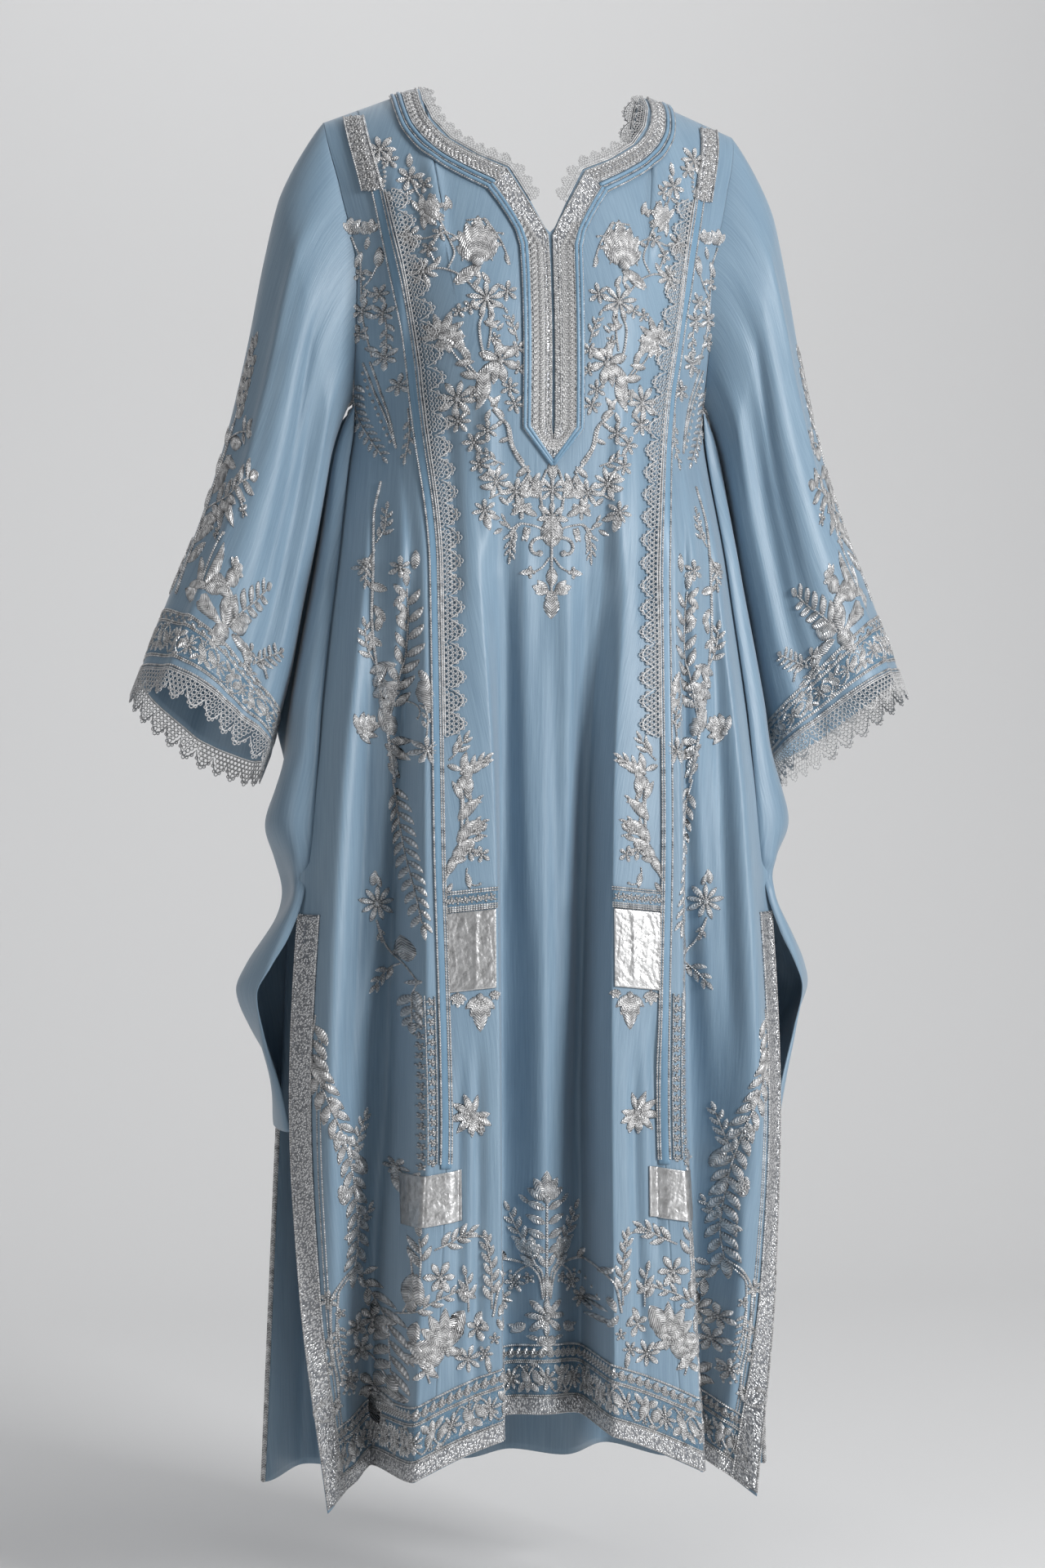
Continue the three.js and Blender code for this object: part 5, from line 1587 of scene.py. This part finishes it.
@dataclass
class Body:
    """Front panels and back."""

    shop: Workshop
    skirt: int = 190
    dome: int = 70
    centre_columns: int = 150
    side_columns: int = 66
    back_columns: int = 150

    def build(self) -> None:
        """Make the four panels of the body."""
        for name, q0, q1, columns in (
            ("front_centre", -3.0, 3.0, self.centre_columns),
            ("front_side_left", -6.0, -3.0, self.side_columns),
            ("front_side_right", 3.0, 6.0, self.side_columns),
        ):
            x, z = FRONT.grid(q0, q1, columns, self.skirt, self.dome)
            self.shop.panel(name, FRONT.place(x, z), "draped")
        x, z = BACK.grid(-5.0, 5.0, self.back_columns, self.skirt - 40, self.dome - 10)
        self.shop.panel("back", BACK.place(x, z), "draped", flip=True)


@dataclass
class Sleeves:
    """Both sleeves and both side drapes."""

    shop: Workshop
    round_cells: int = 110
    long_cells: int = 120
    drape_across: int = 64
    drape_rows: int = 190

    def build(self) -> None:
        """Make a sleeve and a drape on each side."""
        for side in Side:
            flip = side is Side.LEFT
            angle = np.linspace(0, 2 * math.pi, self.round_cells, endpoint=False)[None]
            t = np.linspace(0, 1, self.long_cells + 1)[:, None] ** 1.15
            self.shop.panel(f"sleeve_{side.tag}", SleeveFace(side).ring(angle, t), "hung", flip, loop=True)
            u = np.linspace(0, 1, self.drape_across + 1)[None]
            z = np.linspace(DRAPE_LEVELS[-1], DRAPE_LEVELS[0], self.drape_rows + 1)[:, None]
            self.shop.panel(f"side_drape_{side.tag}", DrapeFace(side).place(u, z), "draped", flip)


# Trims


@frozen
class HemFace(Bent):
    """A face of the body straightened at its hem: a is the length along the hem, b the height over it."""

    below: BodyFace
    reach: float = 176.0

    def table(self) -> tuple[Array, Array]:
        """Running length along the hem, from its middle, against x."""
        x = np.linspace(-self.reach, self.reach, 240)
        run = running(self.below.place(x, self.below.hem(x)))
        return run - run[-1] / 2, x

    def view(self, a: Array, b: Array) -> tuple[Array, Array]:
        """The front view's x and z for a and b."""
        at = np.interp(a, *self.table())
        return at, self.below.hem(at) + b


def border_scroll(start: float, pitch: float, repeats: int, low: float, high: float) -> list[Motif]:
    """A flower scroll between two lines.

    Args:
        start: where the first repeat begins.
        pitch: length of one repeat.
        repeats: how many.
        low, high: the band's edges.

    Returns:
        For each repeat a round flower in a ring of stem, curling leaves and small buds.
    """
    middle, tall = (low + high) / 2, high - low
    motifs: list[Motif] = []
    for k in range(repeats):
        x = start + (k + 0.5) * pitch
        up = 1 if k % 2 else -1
        wave = [
            (x + pitch * (f - 0.5), middle + up * tall * 0.42 * math.sin(2 * math.pi * f))
            for f in (0, 0.12, 0.25, 0.38, 0.5, 0.62, 0.75, 0.88, 1)
        ]
        motifs += [Bloom(x, middle, tall * 0.36, 8, 20 * k), Stem(tuple(wave))]
        motifs += [
            Leaf(x + pitch * f, middle + up * tall * g, heading, tall * size, 0.5, up * bend)
            for f, g, heading, size, bend in (
                (-0.34, 0.3, -up * 70, 0.55, 30), (0.34, -0.3, up * 70, 0.55, -30),
                (-0.45, -0.12, -up * 40, 0.4, 0), (0.42, 0.1, up * 130, 0.4, 0),
                (0.5, 0, up * 90, 0.42, 0), (-0.2, 0.44, 180, 0.3, 0),
            )
        ]
        motifs.append(Bloom(x + pitch * 0.46, middle - up * tall * 0.34, 3.4, 5, 10))
    return motifs


def leaf_row(start: float, end: float, pitch: float, height: float, size: float) -> list[Motif]:
    """A row of leaning leaf pairs with a bud between, along a level line."""
    motifs: list[Motif] = []
    for x in np.arange(start + pitch / 2, end, pitch):
        foot = height - size * 0.4
        motifs += [Leaf(x, foot, 62, size, 0.55), Leaf(x, foot, 12, size * 0.7, 0.5)]
        motifs.append(Bloom(x - pitch * 0.32, height, size * 0.3, 4, 45))
    return motifs


def level(a: Array, b: float) -> Array:
    """Chart points along a at one height b."""
    return np.stack([a, np.full(len(a), b)], -1)


NECK_IN = (
    (98.8, -4), (98.8, -14), (96, -31), (90, -43), (81, -54), (69, -63), (57, -70.5), (45, -76.5), (33, -82),
)
NECK_OUT = (
    (121, -10), (120.5, -20), (117, -40), (107, -59), (93.5, -74), (79, -84), (66, -92), (57, -97),
    (50, -101),
)
PLACKET_IN = (
    (33, -82), (24, -98), (15, -114), (8, -127), (1.6, -140), (1.2, -160), (1.2, -220), (1.2, -296),
    (0.6, -312),
)
PLACKET_OUT = (
    (50, -101), (42.5, -112), (35.5, -124), (29, -137), (26, -150), (25.6, -172), (25.4, -230), (25.2, -300),
    (0.6, -331),
)
BAND_STEPS = 60
PATCH_SLANT = -4.0
CORD = 0.8


@dataclass
class Trimmings:
    """Bands, cords, lace, patches and embroidery, sewn on the panels."""

    shop: Workshop
    princess: Curve = Curve(FRONT_LEVELS, FRONT_WIDTHS["crest_out"])
    edge: Curve = Curve(FRONT_LEVELS, FRONT_WIDTHS["edge"])
    back_edge: Curve = Curve(BACK_LEVELS, BACK_WIDTHS["edge"])
    lace_root: float = 4.4
    cuff_repeats: int = 14
    scallops: int = 24
    lace_from: float = -98.0
    lace_to: float = -552.0

    def stitched(self, name: str, work: Needlework, finish: str = "thread", *nodes: str) -> None:
        """Make a piece of needlework and register it."""
        self.shop.finish(work.mesh(name, self.shop.finishes[finish]), finish, nodes)

    def spray(
        self, name: str, motifs: Sequence[Motif], chart: Chart, *nodes: str, mirror: float = 1.0
    ) -> None:
        """Stitch a list of motifs as one piece."""
        self.stitched(name, Needlework(chart, mirror).add(motifs), "thread", *nodes)

    def strip(
        self, name: str, chart: Chart, inner: Array, outer: Array, finish: str, node: str = "",
        lift: float = 1.6, crown: float = 0.5, mirror: float = 1.0, across: int = 8,
    ) -> None:
        """A band between two chart polylines, slightly crowned across.

        Args:
            name: the piece's name.
            chart: the face it lies on.
            inner, outer: chart points of its two edges, (n, 2) each.
            finish: the finish's name.
            node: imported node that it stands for.
            lift: height of its face over the cloth.
            crown: extra height at its middle.
            mirror: -1 for the left side.
            across: cells across.
        """
        f = np.linspace(0, 1, across + 1)[None, :, None]
        a, b = np.moveaxis(mix(inner[:, None], outer[:, None], f), -1, 0)
        a = a * mirror
        height = lift + crown * np.maximum(np.sin(np.pi * f), 0) ** 0.5
        normals = chart.normal(a, b)
        points = chart.place(a, b) + normals * height
        depth = (lift + crown * 0.5) * 0.92
        piece = sheet_object(name, points, faces_out(points, normals), self.shop.finishes[finish], depth)
        self.shop.finish(piece, finish, [node] if node else ())

    def build(self) -> None:
        """Sew every trim."""
        for side in Side:
            self.neck_and_placket(side)
            self.princess_line(side)
            self.patches(side)
            self.cuff(side)
            self.slit_bands(side)
            self.front_sprays(side)
        self.hem(FRONT, "front", 176.0)
        self.hem(BACK, "back", 204.0)
        self.spray("pendant_middle", PENDANT_MIDDLE, FRONT, "pendant_spray")
        self.spray("hem_tree_middle", HEM_MIDDLE, FRONT, "hem_spray")
        self.neck_lace(FRONT)
        self.neck_lace(BACK)

    def front_sprays(self, side: Side) -> None:
        """The embroidered sprays of one half of the front."""
        for name, motifs, *nodes in (
            ("chest", CHEST, "chest"), ("underarm", UNDERARM, "underarm"), ("waist", WAIST, "waist", "hip"),
            ("princess", PRINCESS, "princess"), ("pendant", PENDANT_HALF), ("hem_tree", HEM_HALF),
            ("tube", TUBE_SPRAY, "tube"), ("slit", SLIT_VINE, "slit"),
        ):
            replaced = [f"{node}_spray_{side.tag}" for node in nodes]
            self.spray(f"{name}_embroidery_{side.tag}", motifs, FRONT, *replaced, mirror=side.sign)

    def neck_and_placket(self, side: Side) -> None:
        """The band round the neck and down the placket: blue piping outside, silver inside."""
        mirror, tag = side.sign, side.tag
        for part, node, split in (("neck", "neck_band", 0.56), ("placket", "placket", 0.72)):
            if part == "placket":
                at = np.linspace(0, len(PLACKET_IN) - 1, 81)
                a, b = (walk(line, np.arange(len(line)), at) for line in (PLACKET_IN, PLACKET_OUT))
            else:
                a, b = (even_path(smooth_path(line, 1.5), BAND_STEPS) for line in (NECK_IN, NECK_OUT))
            middle = mix(a, b, split)
            self.strip(f"{part}_silver_{tag}", FRONT, a, middle, "zari", f"{node}_{tag}", 1.9, 0.4, mirror)
            self.strip(f"{part}_piping_{tag}", FRONT, middle, b, "piping", "", 1.5, 0.2, mirror)
            work, cords = Needlework(FRONT, mirror, 1.9), Needlework(FRONT, mirror, 1.6)
            work.cords(0.75, *(mix(a, b, share) for share in (0.04, split, (1 + split) / 2, 0.985)))
            cords.cords(1.7, *(mix(a, b, split + (1 - split) * share) for share in (0.27, 0.76)))
            if part == "placket":
                self.placket_leaves(work)
            else:
                for n in range(2, BAND_STEPS, 2):
                    across, up = a[n] - a[n - 1]
                    heading = math.degrees(math.atan2(up, across))
                    for turn in (50, -50):
                        work.leaf(*mix(a[n], b[n], split / 2), heading + turn, 6.5, 0.5)
            self.stitched(f"{part}_cords_{tag}", work)
            self.stitched(f"{part}_blue_cords_{tag}", cords, "piping")

    def placket_leaves(self, work: Needlework) -> None:
        """The bright column of paired leaves down the placket, which turns under the slit's end."""
        for z in np.arange(-128, -298, -4.4):
            x = 12.6 + max(0.0, (z + 146) * 0.55)
            work.leaf(x, z, 232, 8.2, 0.5, 10)
            work.leaf(x, z, 308, 8.2, 0.5, -10)
        for angle in np.arange(190, 272, 13):
            turn = math.radians(angle)
            work.leaf(-8.5 * math.cos(turn), -300 + 8.5 * math.sin(turn), 180 - angle, 9, 0.5)
        work.tube(smooth_path(((6.4, -138), (6.2, -200), (6.2, -290), (4.6, -301), (0.6, -306))), CORD)
        for z in np.arange(-150, -296, -5.5):
            work.leaf(3.4, z, 270, 5.2, 0.42)

    def princess_line(self, side: Side) -> None:
        """The lace, its piping and the shoulder band along one princess seam."""
        mirror, tag = side.sign, side.tag
        line = self.beside(self.princess, 0, np.linspace(-30, -903, 220))
        inner, outer = line - [self.lace_root, 0], line + [4.2, 0]
        node = f"princess_piping_{tag}"
        self.strip(f"princess_ribbon_{tag}", FRONT, inner, outer, "piping", node, 1.3, 0.3, mirror, 6)
        cords = Needlework(FRONT, mirror, 1.2)
        cords.cords(CORD, *(path[::2] for path in (inner, inner + [2.0, 0], outer)))
        lower = line[line[:, 1] < -762][::2]
        cords.cords(0.55, lower + [7.5, 0], lower + [14.5, 0])
        self.stitched(f"princess_cords_{tag}", cords)
        flowers = Needlework(FRONT, mirror)
        for n, z in enumerate(np.linspace(-768, -898, 17)):
            x = float(self.princess(z))
            buds = Bloom(x + 11, z, 3.6, 5, 30 * n), Bloom(x + 19, z - 4, 3.4, 5, 50 * n)
            flowers.add((*buds, Leaf(x + 11, z + 2, 250, 5, 0.5)))
        self.stitched(f"princess_flowers_{tag}", flowers)
        inner = self.beside(self.princess, self.lace_root, np.linspace(-30, -97, 30))
        outer, node = inner + [16, 0], f"shoulder_band_{tag}"
        self.strip(f"shoulder_silver_{tag}", FRONT, inner, outer, "zari", node, 2.2, 0.4, mirror)
        band = Needlework(FRONT, mirror, 2.3)
        band.cords(CORD, inner + [0.3, 0], inner + [15.7, 0])
        for n, z in enumerate(np.arange(-34, -96, -8.5)):
            x = float(self.princess(z)) - self.lace_root + 8
            leaves = Leaf(x - 5, z - 4, 60, 7, 0.5), Leaf(x + 5, z - 4, 120, 7, 0.5)
            band.add((Bloom(x, z, 5.4, 6, 25 * n), *leaves))
        self.stitched(f"shoulder_embroidery_{tag}", band)
        root = self.beside(self.princess, self.lace_root, np.linspace(self.lace_from, self.lace_to, 240))
        lace = Needlework(FRONT, mirror, 1.4)
        self.crochet(lace, root, np.tile([-1.0, 0.0], (len(root), 1)), self.scallops, 6.5, 17.0, 2.1)
        self.stitched(f"princess_lace_{tag}_crochet", lace, "lace", f"princess_lace_{tag}")

    def crochet(
        self, lace: Needlework, root: Array, inward: Array, scallops: int, low: float, high: float,
        ring: float,
    ) -> None:
        """Scalloped crochet: packed rings inside pointed scallops, a corded root and an edge of picots.

        Args:
            lace: where the rings go.
            root: chart points of the sewn edge.
            inward: unit vectors from the sewn edge to the tips, one for each root point.
            scallops: how many.
            low, high: depth between two scallops and at their tips.
            ring: radius of the rings.
        """
        run = running(root)
        whole = run[-1]

        def at(t: Array, d: Array | float) -> Array:
            """Chart points at lengths t along the root and depths d."""
            return walk(root, run, t) + walk(inward, run, t) * np.broadcast_to(d, t.shape)[:, None]

        def reach(t: Array) -> Array:
            """Depth of the lace: a power of a sine over each scallop."""
            return low + (high - low) * np.sin(np.pi * np.mod(t * scallops / whole, 1.0)) ** 0.85

        gap = ring * 2.05
        for n in range(int(high / (gap * 0.87)) + 1):
            d = 1.4 + ring + n * gap * 0.87
            t = np.arange(gap * (0.5 if n % 2 else 1.0), whole, gap)
            t = t[d + ring * 0.6 < reach(t)]
            lace.rings += [(a, b, ring * 0.88, ring * 0.22, 0.6) for a, b in at(t, d)]
        t = np.linspace(0, whole, scallops * 10 + 1)
        lace.tube(at(t, reach(t)), ring * 0.3, 0.5)
        lace.cords(0.62, at(t, 0.4), at(t, 2.0), lift=0.6)
        for share in (0.14, 0.32, 0.5, 0.68, 0.86):
            t = (np.arange(scallops) + share) * whole / scallops
            size = 1.25 if share == 0.5 else 0.95
            tips = at(t, reach(t) + size * 0.8)
            lace.rings += [(a, b, size * ring / 1.5, ring * 0.24, 0.5) for a, b in tips]

    def neck_lace(self, body: BodyFace) -> None:
        """Crochet that stands into the neck opening, in one run on the back and two on the front."""
        right = np.stack([body.neck["half"], body.neck["z"]], -1).astype(float)
        if body.facing > 0:
            runs = [("back", np.concatenate([right[::-1] * [-1, 1], right[1:]]), 24, "neck_lace_back")]
        else:
            runs = [(f"front_{s.tag}", right[:1:-1] * [s.value, 1], 13, f"neck_lace_{s.tag}") for s in Side]
        for tag, edge, scallops, node in runs:
            root = even_path(edge, 120)
            sides = path_sides(root)
            sides = sides * np.sign((sides * ([0.0, -20.0] - root)).sum(-1, keepdims=True))
            lace = Needlework(NeckPlane(body))
            self.crochet(lace, root, sides, scallops, 4.5, 10.0, 1.2)
            self.stitched(f"neck_lace_{tag}_crochet", lace, "lace", node)

    def patches(self, side: Side) -> None:
        """Silver tissue patches and the headings over the upper ones."""
        mirror, tag = side.sign, side.tag
        self.foil("upper_patch", side, (49, 88), (-757, -693), PATCH_SLANT, 0.42)
        self.foil("lower_patch", side, (77, 121), (-945, -904), -7, 0.9)

        def slope(x: Array | float) -> Array | float:
            """Fall of the heading at x."""
            return PATCH_SLANT * (x - 49) / 39

        x = np.linspace(48.5, 88.5, 24)
        top, low = np.stack([x, -676 + slope(x)], -1), np.stack([x, -691.5 + slope(x)], -1)
        node = f"upper_patch_heading_{tag}"
        self.strip(f"upper_heading_{tag}", FRONT, low, top, "border", node, 1.7, 0.2, mirror)
        work = Needlework(FRONT, mirror, 1.6)
        work.cords(0.7, *(top + [0, offset] for offset in (0.3, -1.6, -12.4, -14.0, -15.6)))
        for n, x in enumerate(np.linspace(52, 85, 7)):
            z = -683 + slope(x)
            work.add((Bloom(x, z, 3.6, 5, 40 * n), Leaf(x + 1.5, z - 2, 40, 5, 0.5)))
        self.stitched(f"upper_heading_embroidery_{tag}", work)

    def foil(
        self, name: str, side: Side, across: tuple[float, float], up: tuple[float, float], slant: float,
        crease: float,
    ) -> None:
        """A crumpled tissue patch: small waves over its face and one pressed crease down it."""
        u, v = np.meshgrid(np.linspace(0, 1, 61), np.linspace(0, 1, 61))
        crumple = 0.12 * np.sin(u * 23 + 5 * np.sin(v * 6)) * np.sin(v * 17 + 4 * np.sin(u * 7))
        crumple += 0.05 * np.sin(u * 61 + v * 30) * np.sin(v * 47 - u * 21)
        crumple += 0.5 * np.exp(-(((u - crease) / 0.05) ** 2))
        rim = np.minimum(np.minimum(u, 1 - u), np.minimum(v, 1 - v))
        height = 1.9 + crumple * ease(rim / 0.08)
        a, z = mix(*across, u) * side.sign, mix(*up, v) + slant * u
        normals = FRONT.normal(a, z)
        points = FRONT.place(a, z) + normals * height[..., None]
        quads, material = faces_out(points, normals), self.shop.finishes["foil"]
        piece = sheet_object(f"{name}_tissue_{side.tag}", points, quads, material, 1.6)
        self.shop.finish(piece, "foil", [f"{name}_{side.tag}"])

    def cuff(self, side: Side) -> None:
        """The cuff: lace, plain strip, flower band and braid, and the sprays over it."""
        sleeve, tag = SleeveFace(side), side.tag
        chart = ScaledRound(sleeve)
        whole = 2 * math.pi * float(sleeve.radius(np.array(1.0)))
        turn = np.linspace(0, 1, 161) * whole
        low, high = level(turn, 11.0), level(turn, 38.0)
        self.strip(f"cuff_ground_{tag}", chart, low, high, "border", f"cuff_band_{tag}", 0.7, 0.0)
        work = Needlework(chart)
        work.tube(level(turn, 2.5), 1.0)
        work.cords(CORD, *(level(turn, b) for b in (9.8, 11.4, 37.6, 39.2, 45.6, 47.0)))
        work.add(border_scroll(0.0, whole / self.cuff_repeats, self.cuff_repeats, 11.5, 37.5))
        for n in range(72):
            work.leaf(whole * n / 72, 42.4, 30 if n % 2 else -30, 5.4, 0.5)
        self.stitched(f"cuff_embroidery_{tag}", work)
        self.spray(f"sleeve_embroidery_{tag}", SLEEVE_VINE, sleeve, f"sleeve_spray_{tag}")
        self.spray(f"sleeve_back_embroidery_{tag}", SLEEVE_BACK_VINE, sleeve)
        lace = Needlework(chart)
        self.crochet(lace, level(turn, 0.5), np.tile([0.0, -1.0], (161, 1)), self.scallops, 10.0, 21.0, 2.1)
        self.stitched(f"cuff_lace_{tag}_crochet", lace, "lace", f"cuff_lace_{tag}")

    def slit_bands(self, side: Side) -> None:
        """Silver bands along the front and back edges below the waist, and a corded edge on the back."""
        mirror, tag = side.sign, side.tag
        for body, edge, name, top in (
            (FRONT, self.edge, "front", -700.0), (BACK, self.back_edge, "back", -886.0),
        ):

            def line(offset: float, end: float = top) -> Array:
                """From the hem to a height, an offset inside the slit edge."""
                foot = float(body.hem(float(edge(-1190.0)) - offset)) + 1
                return self.beside(edge, offset, np.linspace(foot, end, 120))

            band, node = f"{name}_slit_silver_{tag}", f"{name}_slit_band_{tag}"
            self.strip(band, body, line(16.9), line(0.4), "zari", node, 1.3, 0.2, mirror)
            work = Needlework(body, mirror, 1.0)
            work.cords(CORD, line(0.7), line(16.7))
            if body is FRONT:
                work.cords(0.6, line(20.4, -800.0), line(22.9, -800.0), lift=-0.8)
            else:
                work.tube(line(-0.8), 2.2, -1.7)
            self.stitched(f"{name}_slit_cords_{tag}", work)

    def beside(self, line: Curve, offset: float, z: Array) -> Array:
        """Front view points at heights z, an offset inside a line."""
        return np.stack([line(z) - offset, z], -1)

    def hem(self, body: BodyFace, name: str, reach: float) -> None:
        """The silver edge, flower band and leaf row of a hem."""
        chart = HemFace(body, reach)
        half = float(chart.table()[0][-1])
        along = np.linspace(-half, half, 220)
        rim, zari, top = (level(along, b) for b in (0.6, ZARI_HEIGHT, BORDER_HEIGHT))
        self.strip(f"{name}_hem_silver", chart, rim, zari, "zari", f"{name}_hem_zari", 1.3, 0.2)
        self.strip(f"{name}_hem_ground", chart, zari, top, "border", f"{name}_hem_border", 0.6, 0.0)
        work = Needlework(chart, ground=0.5)
        for radius, heights in ((0.9, (0.8, 14.0, 57.6)), (0.7, (15.8, 45.0)), (CORD, (43.4,))):
            work.cords(radius, *(level(along, b) for b in heights))
        repeats = int(2 * half / 33)
        work.add(border_scroll(-half, 2 * half / repeats, repeats, 16.5, 43))
        work.add(leaf_row(-half + 2, half - 2, 7.6, 51.3, 8.0))
        self.stitched(f"{name}_hem_embroidery", work)


@frozen
class ScaledRound(Bent):
    """A sleeve with a measured at the cuff, so that a whole turn has the same length on every ring."""

    below: SleeveFace

    def view(self, a: Array, b: Array) -> tuple[Array, Array]:
        """The sleeve's own coordinates."""
        return a * self.below.radius(1 - b / SLEEVE_LENGTH) / self.below.radius(np.array(1.0)), b


@frozen
class NeckPlane(Chart):
    """Upright surface that carries the neck lace: beyond the neck edge it keeps the edge's depth."""

    body: BodyFace

    def place(self, a: Array, b: Array) -> Array:
        """Point over (x, z), with the body's depth a little outside the neck edge."""
        x, z = pair(a, b)
        level = np.clip(z, self.body.neck_low, -1.0)
        opening = np.interp(level, self.body.neck["z"], self.body.neck["half"])
        at = np.where(x < 0, -1, 1) * np.maximum(np.abs(x), opening + 1)
        low = np.minimum(z, shoulder_z(at) - 1.5)
        y = self.body.place(at, low)[..., 1]
        return np.stack([x, y, z], -1)

    def normal(self, a: Array, b: Array) -> Array:
        """Straight out of the front or back."""
        a, b = pair(a, b)
        out = np.zeros(a.shape + (3,))
        out[..., 1] = self.body.facing
        return out


@dataclass
class Studio:
    """Pale floor and backdrop, soft light and the camera at the photograph's angle."""

    floor_z: float = -1.32
    azimuth: float = -9.5
    distance: float = 2.6
    height: float = -0.5915
    lens: float = 69.6
    axis_pixel: float = 8.0
    long_side: float = 1920.0

    def build(self) -> None:
        """Make the backdrop, the lights and the camera."""
        self.backdrop()
        self.light("key", (1.75, -2.45, 0.2), 0.9, 88.0)
        self.light("fill", (-2.5, -1.4, -0.3), 1.0, 9.0)
        self.light("top", (0.4, -0.8, 1.9), 0.9, 14.0)
        self.light("wall", (0.0, 1.6, 2.2), 3.0, 33.0, (0.0, 3.0, -0.8))
        world = bpy.data.worlds.new("studio")
        world.use_nodes = True
        world.node_tree.nodes["Background"].inputs[0].default_value = (0.93, 0.95, 1, 1)
        world.node_tree.nodes["Background"].inputs[1].default_value = 0.17
        bpy.context.scene.world = world
        bpy.context.scene.view_settings.view_transform = "Standard"
        camera = shown("camera", bpy.data.cameras.new("camera"))
        turn = math.radians(self.azimuth)
        camera.location = (math.sin(turn) * self.distance, -math.cos(turn) * self.distance, self.height)
        camera.rotation_euler = (math.pi / 2, 0, turn)
        camera.data.lens = self.lens
        camera.data.sensor_width = 36
        camera.data.shift_x = -self.axis_pixel / self.long_side
        camera.data.clip_end = 50
        bpy.context.scene.camera = camera

    def backdrop(self) -> None:
        """A floor that sweeps up behind: a flat run, a quarter circle and a wall."""
        bend = np.linspace(0, math.pi / 2, 24)
        radius = 1.6
        y = np.concatenate([[-5.0], 1.6 + radius * np.sin(bend), [1.6 + radius]])
        z = np.concatenate([[0.0], radius * (1 - np.cos(bend)), [6.0]]) + self.floor_z
        x = np.array([-8.0, 8.0])
        points = np.stack(np.broadcast_arrays(x[None], y[:, None], z[:, None]), -1)
        paint = bpy.data.materials.new("backdrop")
        paint.use_nodes = True
        shader = paint.node_tree.nodes["Principled BSDF"]
        shader.inputs["Base Color"].default_value = (0.8, 0.8, 0.8, 1)
        shader.inputs["Roughness"].default_value = 0.9
        faces = grid_faces(len(y), 2)
        mesh_object("backdrop", points.reshape(-1, 3), [faces], None, paint)

    def light(
        self, name: str, place: Triple, size: float, watts: float,
        target: Triple = (0.0, 0.0, -0.55),
    ) -> None:
        """An area light that faces a target, the middle of the garment unless another is given."""
        lamp = shown(name, bpy.data.lights.new(name, "AREA"))
        lamp.data.size = size
        lamp.data.energy = watts
        lamp.location = place
        aim = np.array(target) - np.array(place)
        yaw = math.atan2(aim[1], aim[0]) - math.pi / 2
        tilt = math.atan2(aim[2], math.hypot(aim[0], aim[1])) + math.pi / 2
        lamp.rotation_euler = (tilt, 0, yaw)


def main() -> None:
    """Build the garment in order and report each piece."""
    logging.basicConfig(level=logging.INFO, format="%(name)s %(message)s")
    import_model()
    shop = Workshop(Wardrobe())
    Body(shop).build()
    Sleeves(shop).build()
    Trimmings(shop).build()
    Studio().build()
    LOG.info("%d pieces", len(shop.pieces))


if __name__ == "__main__":
    main()
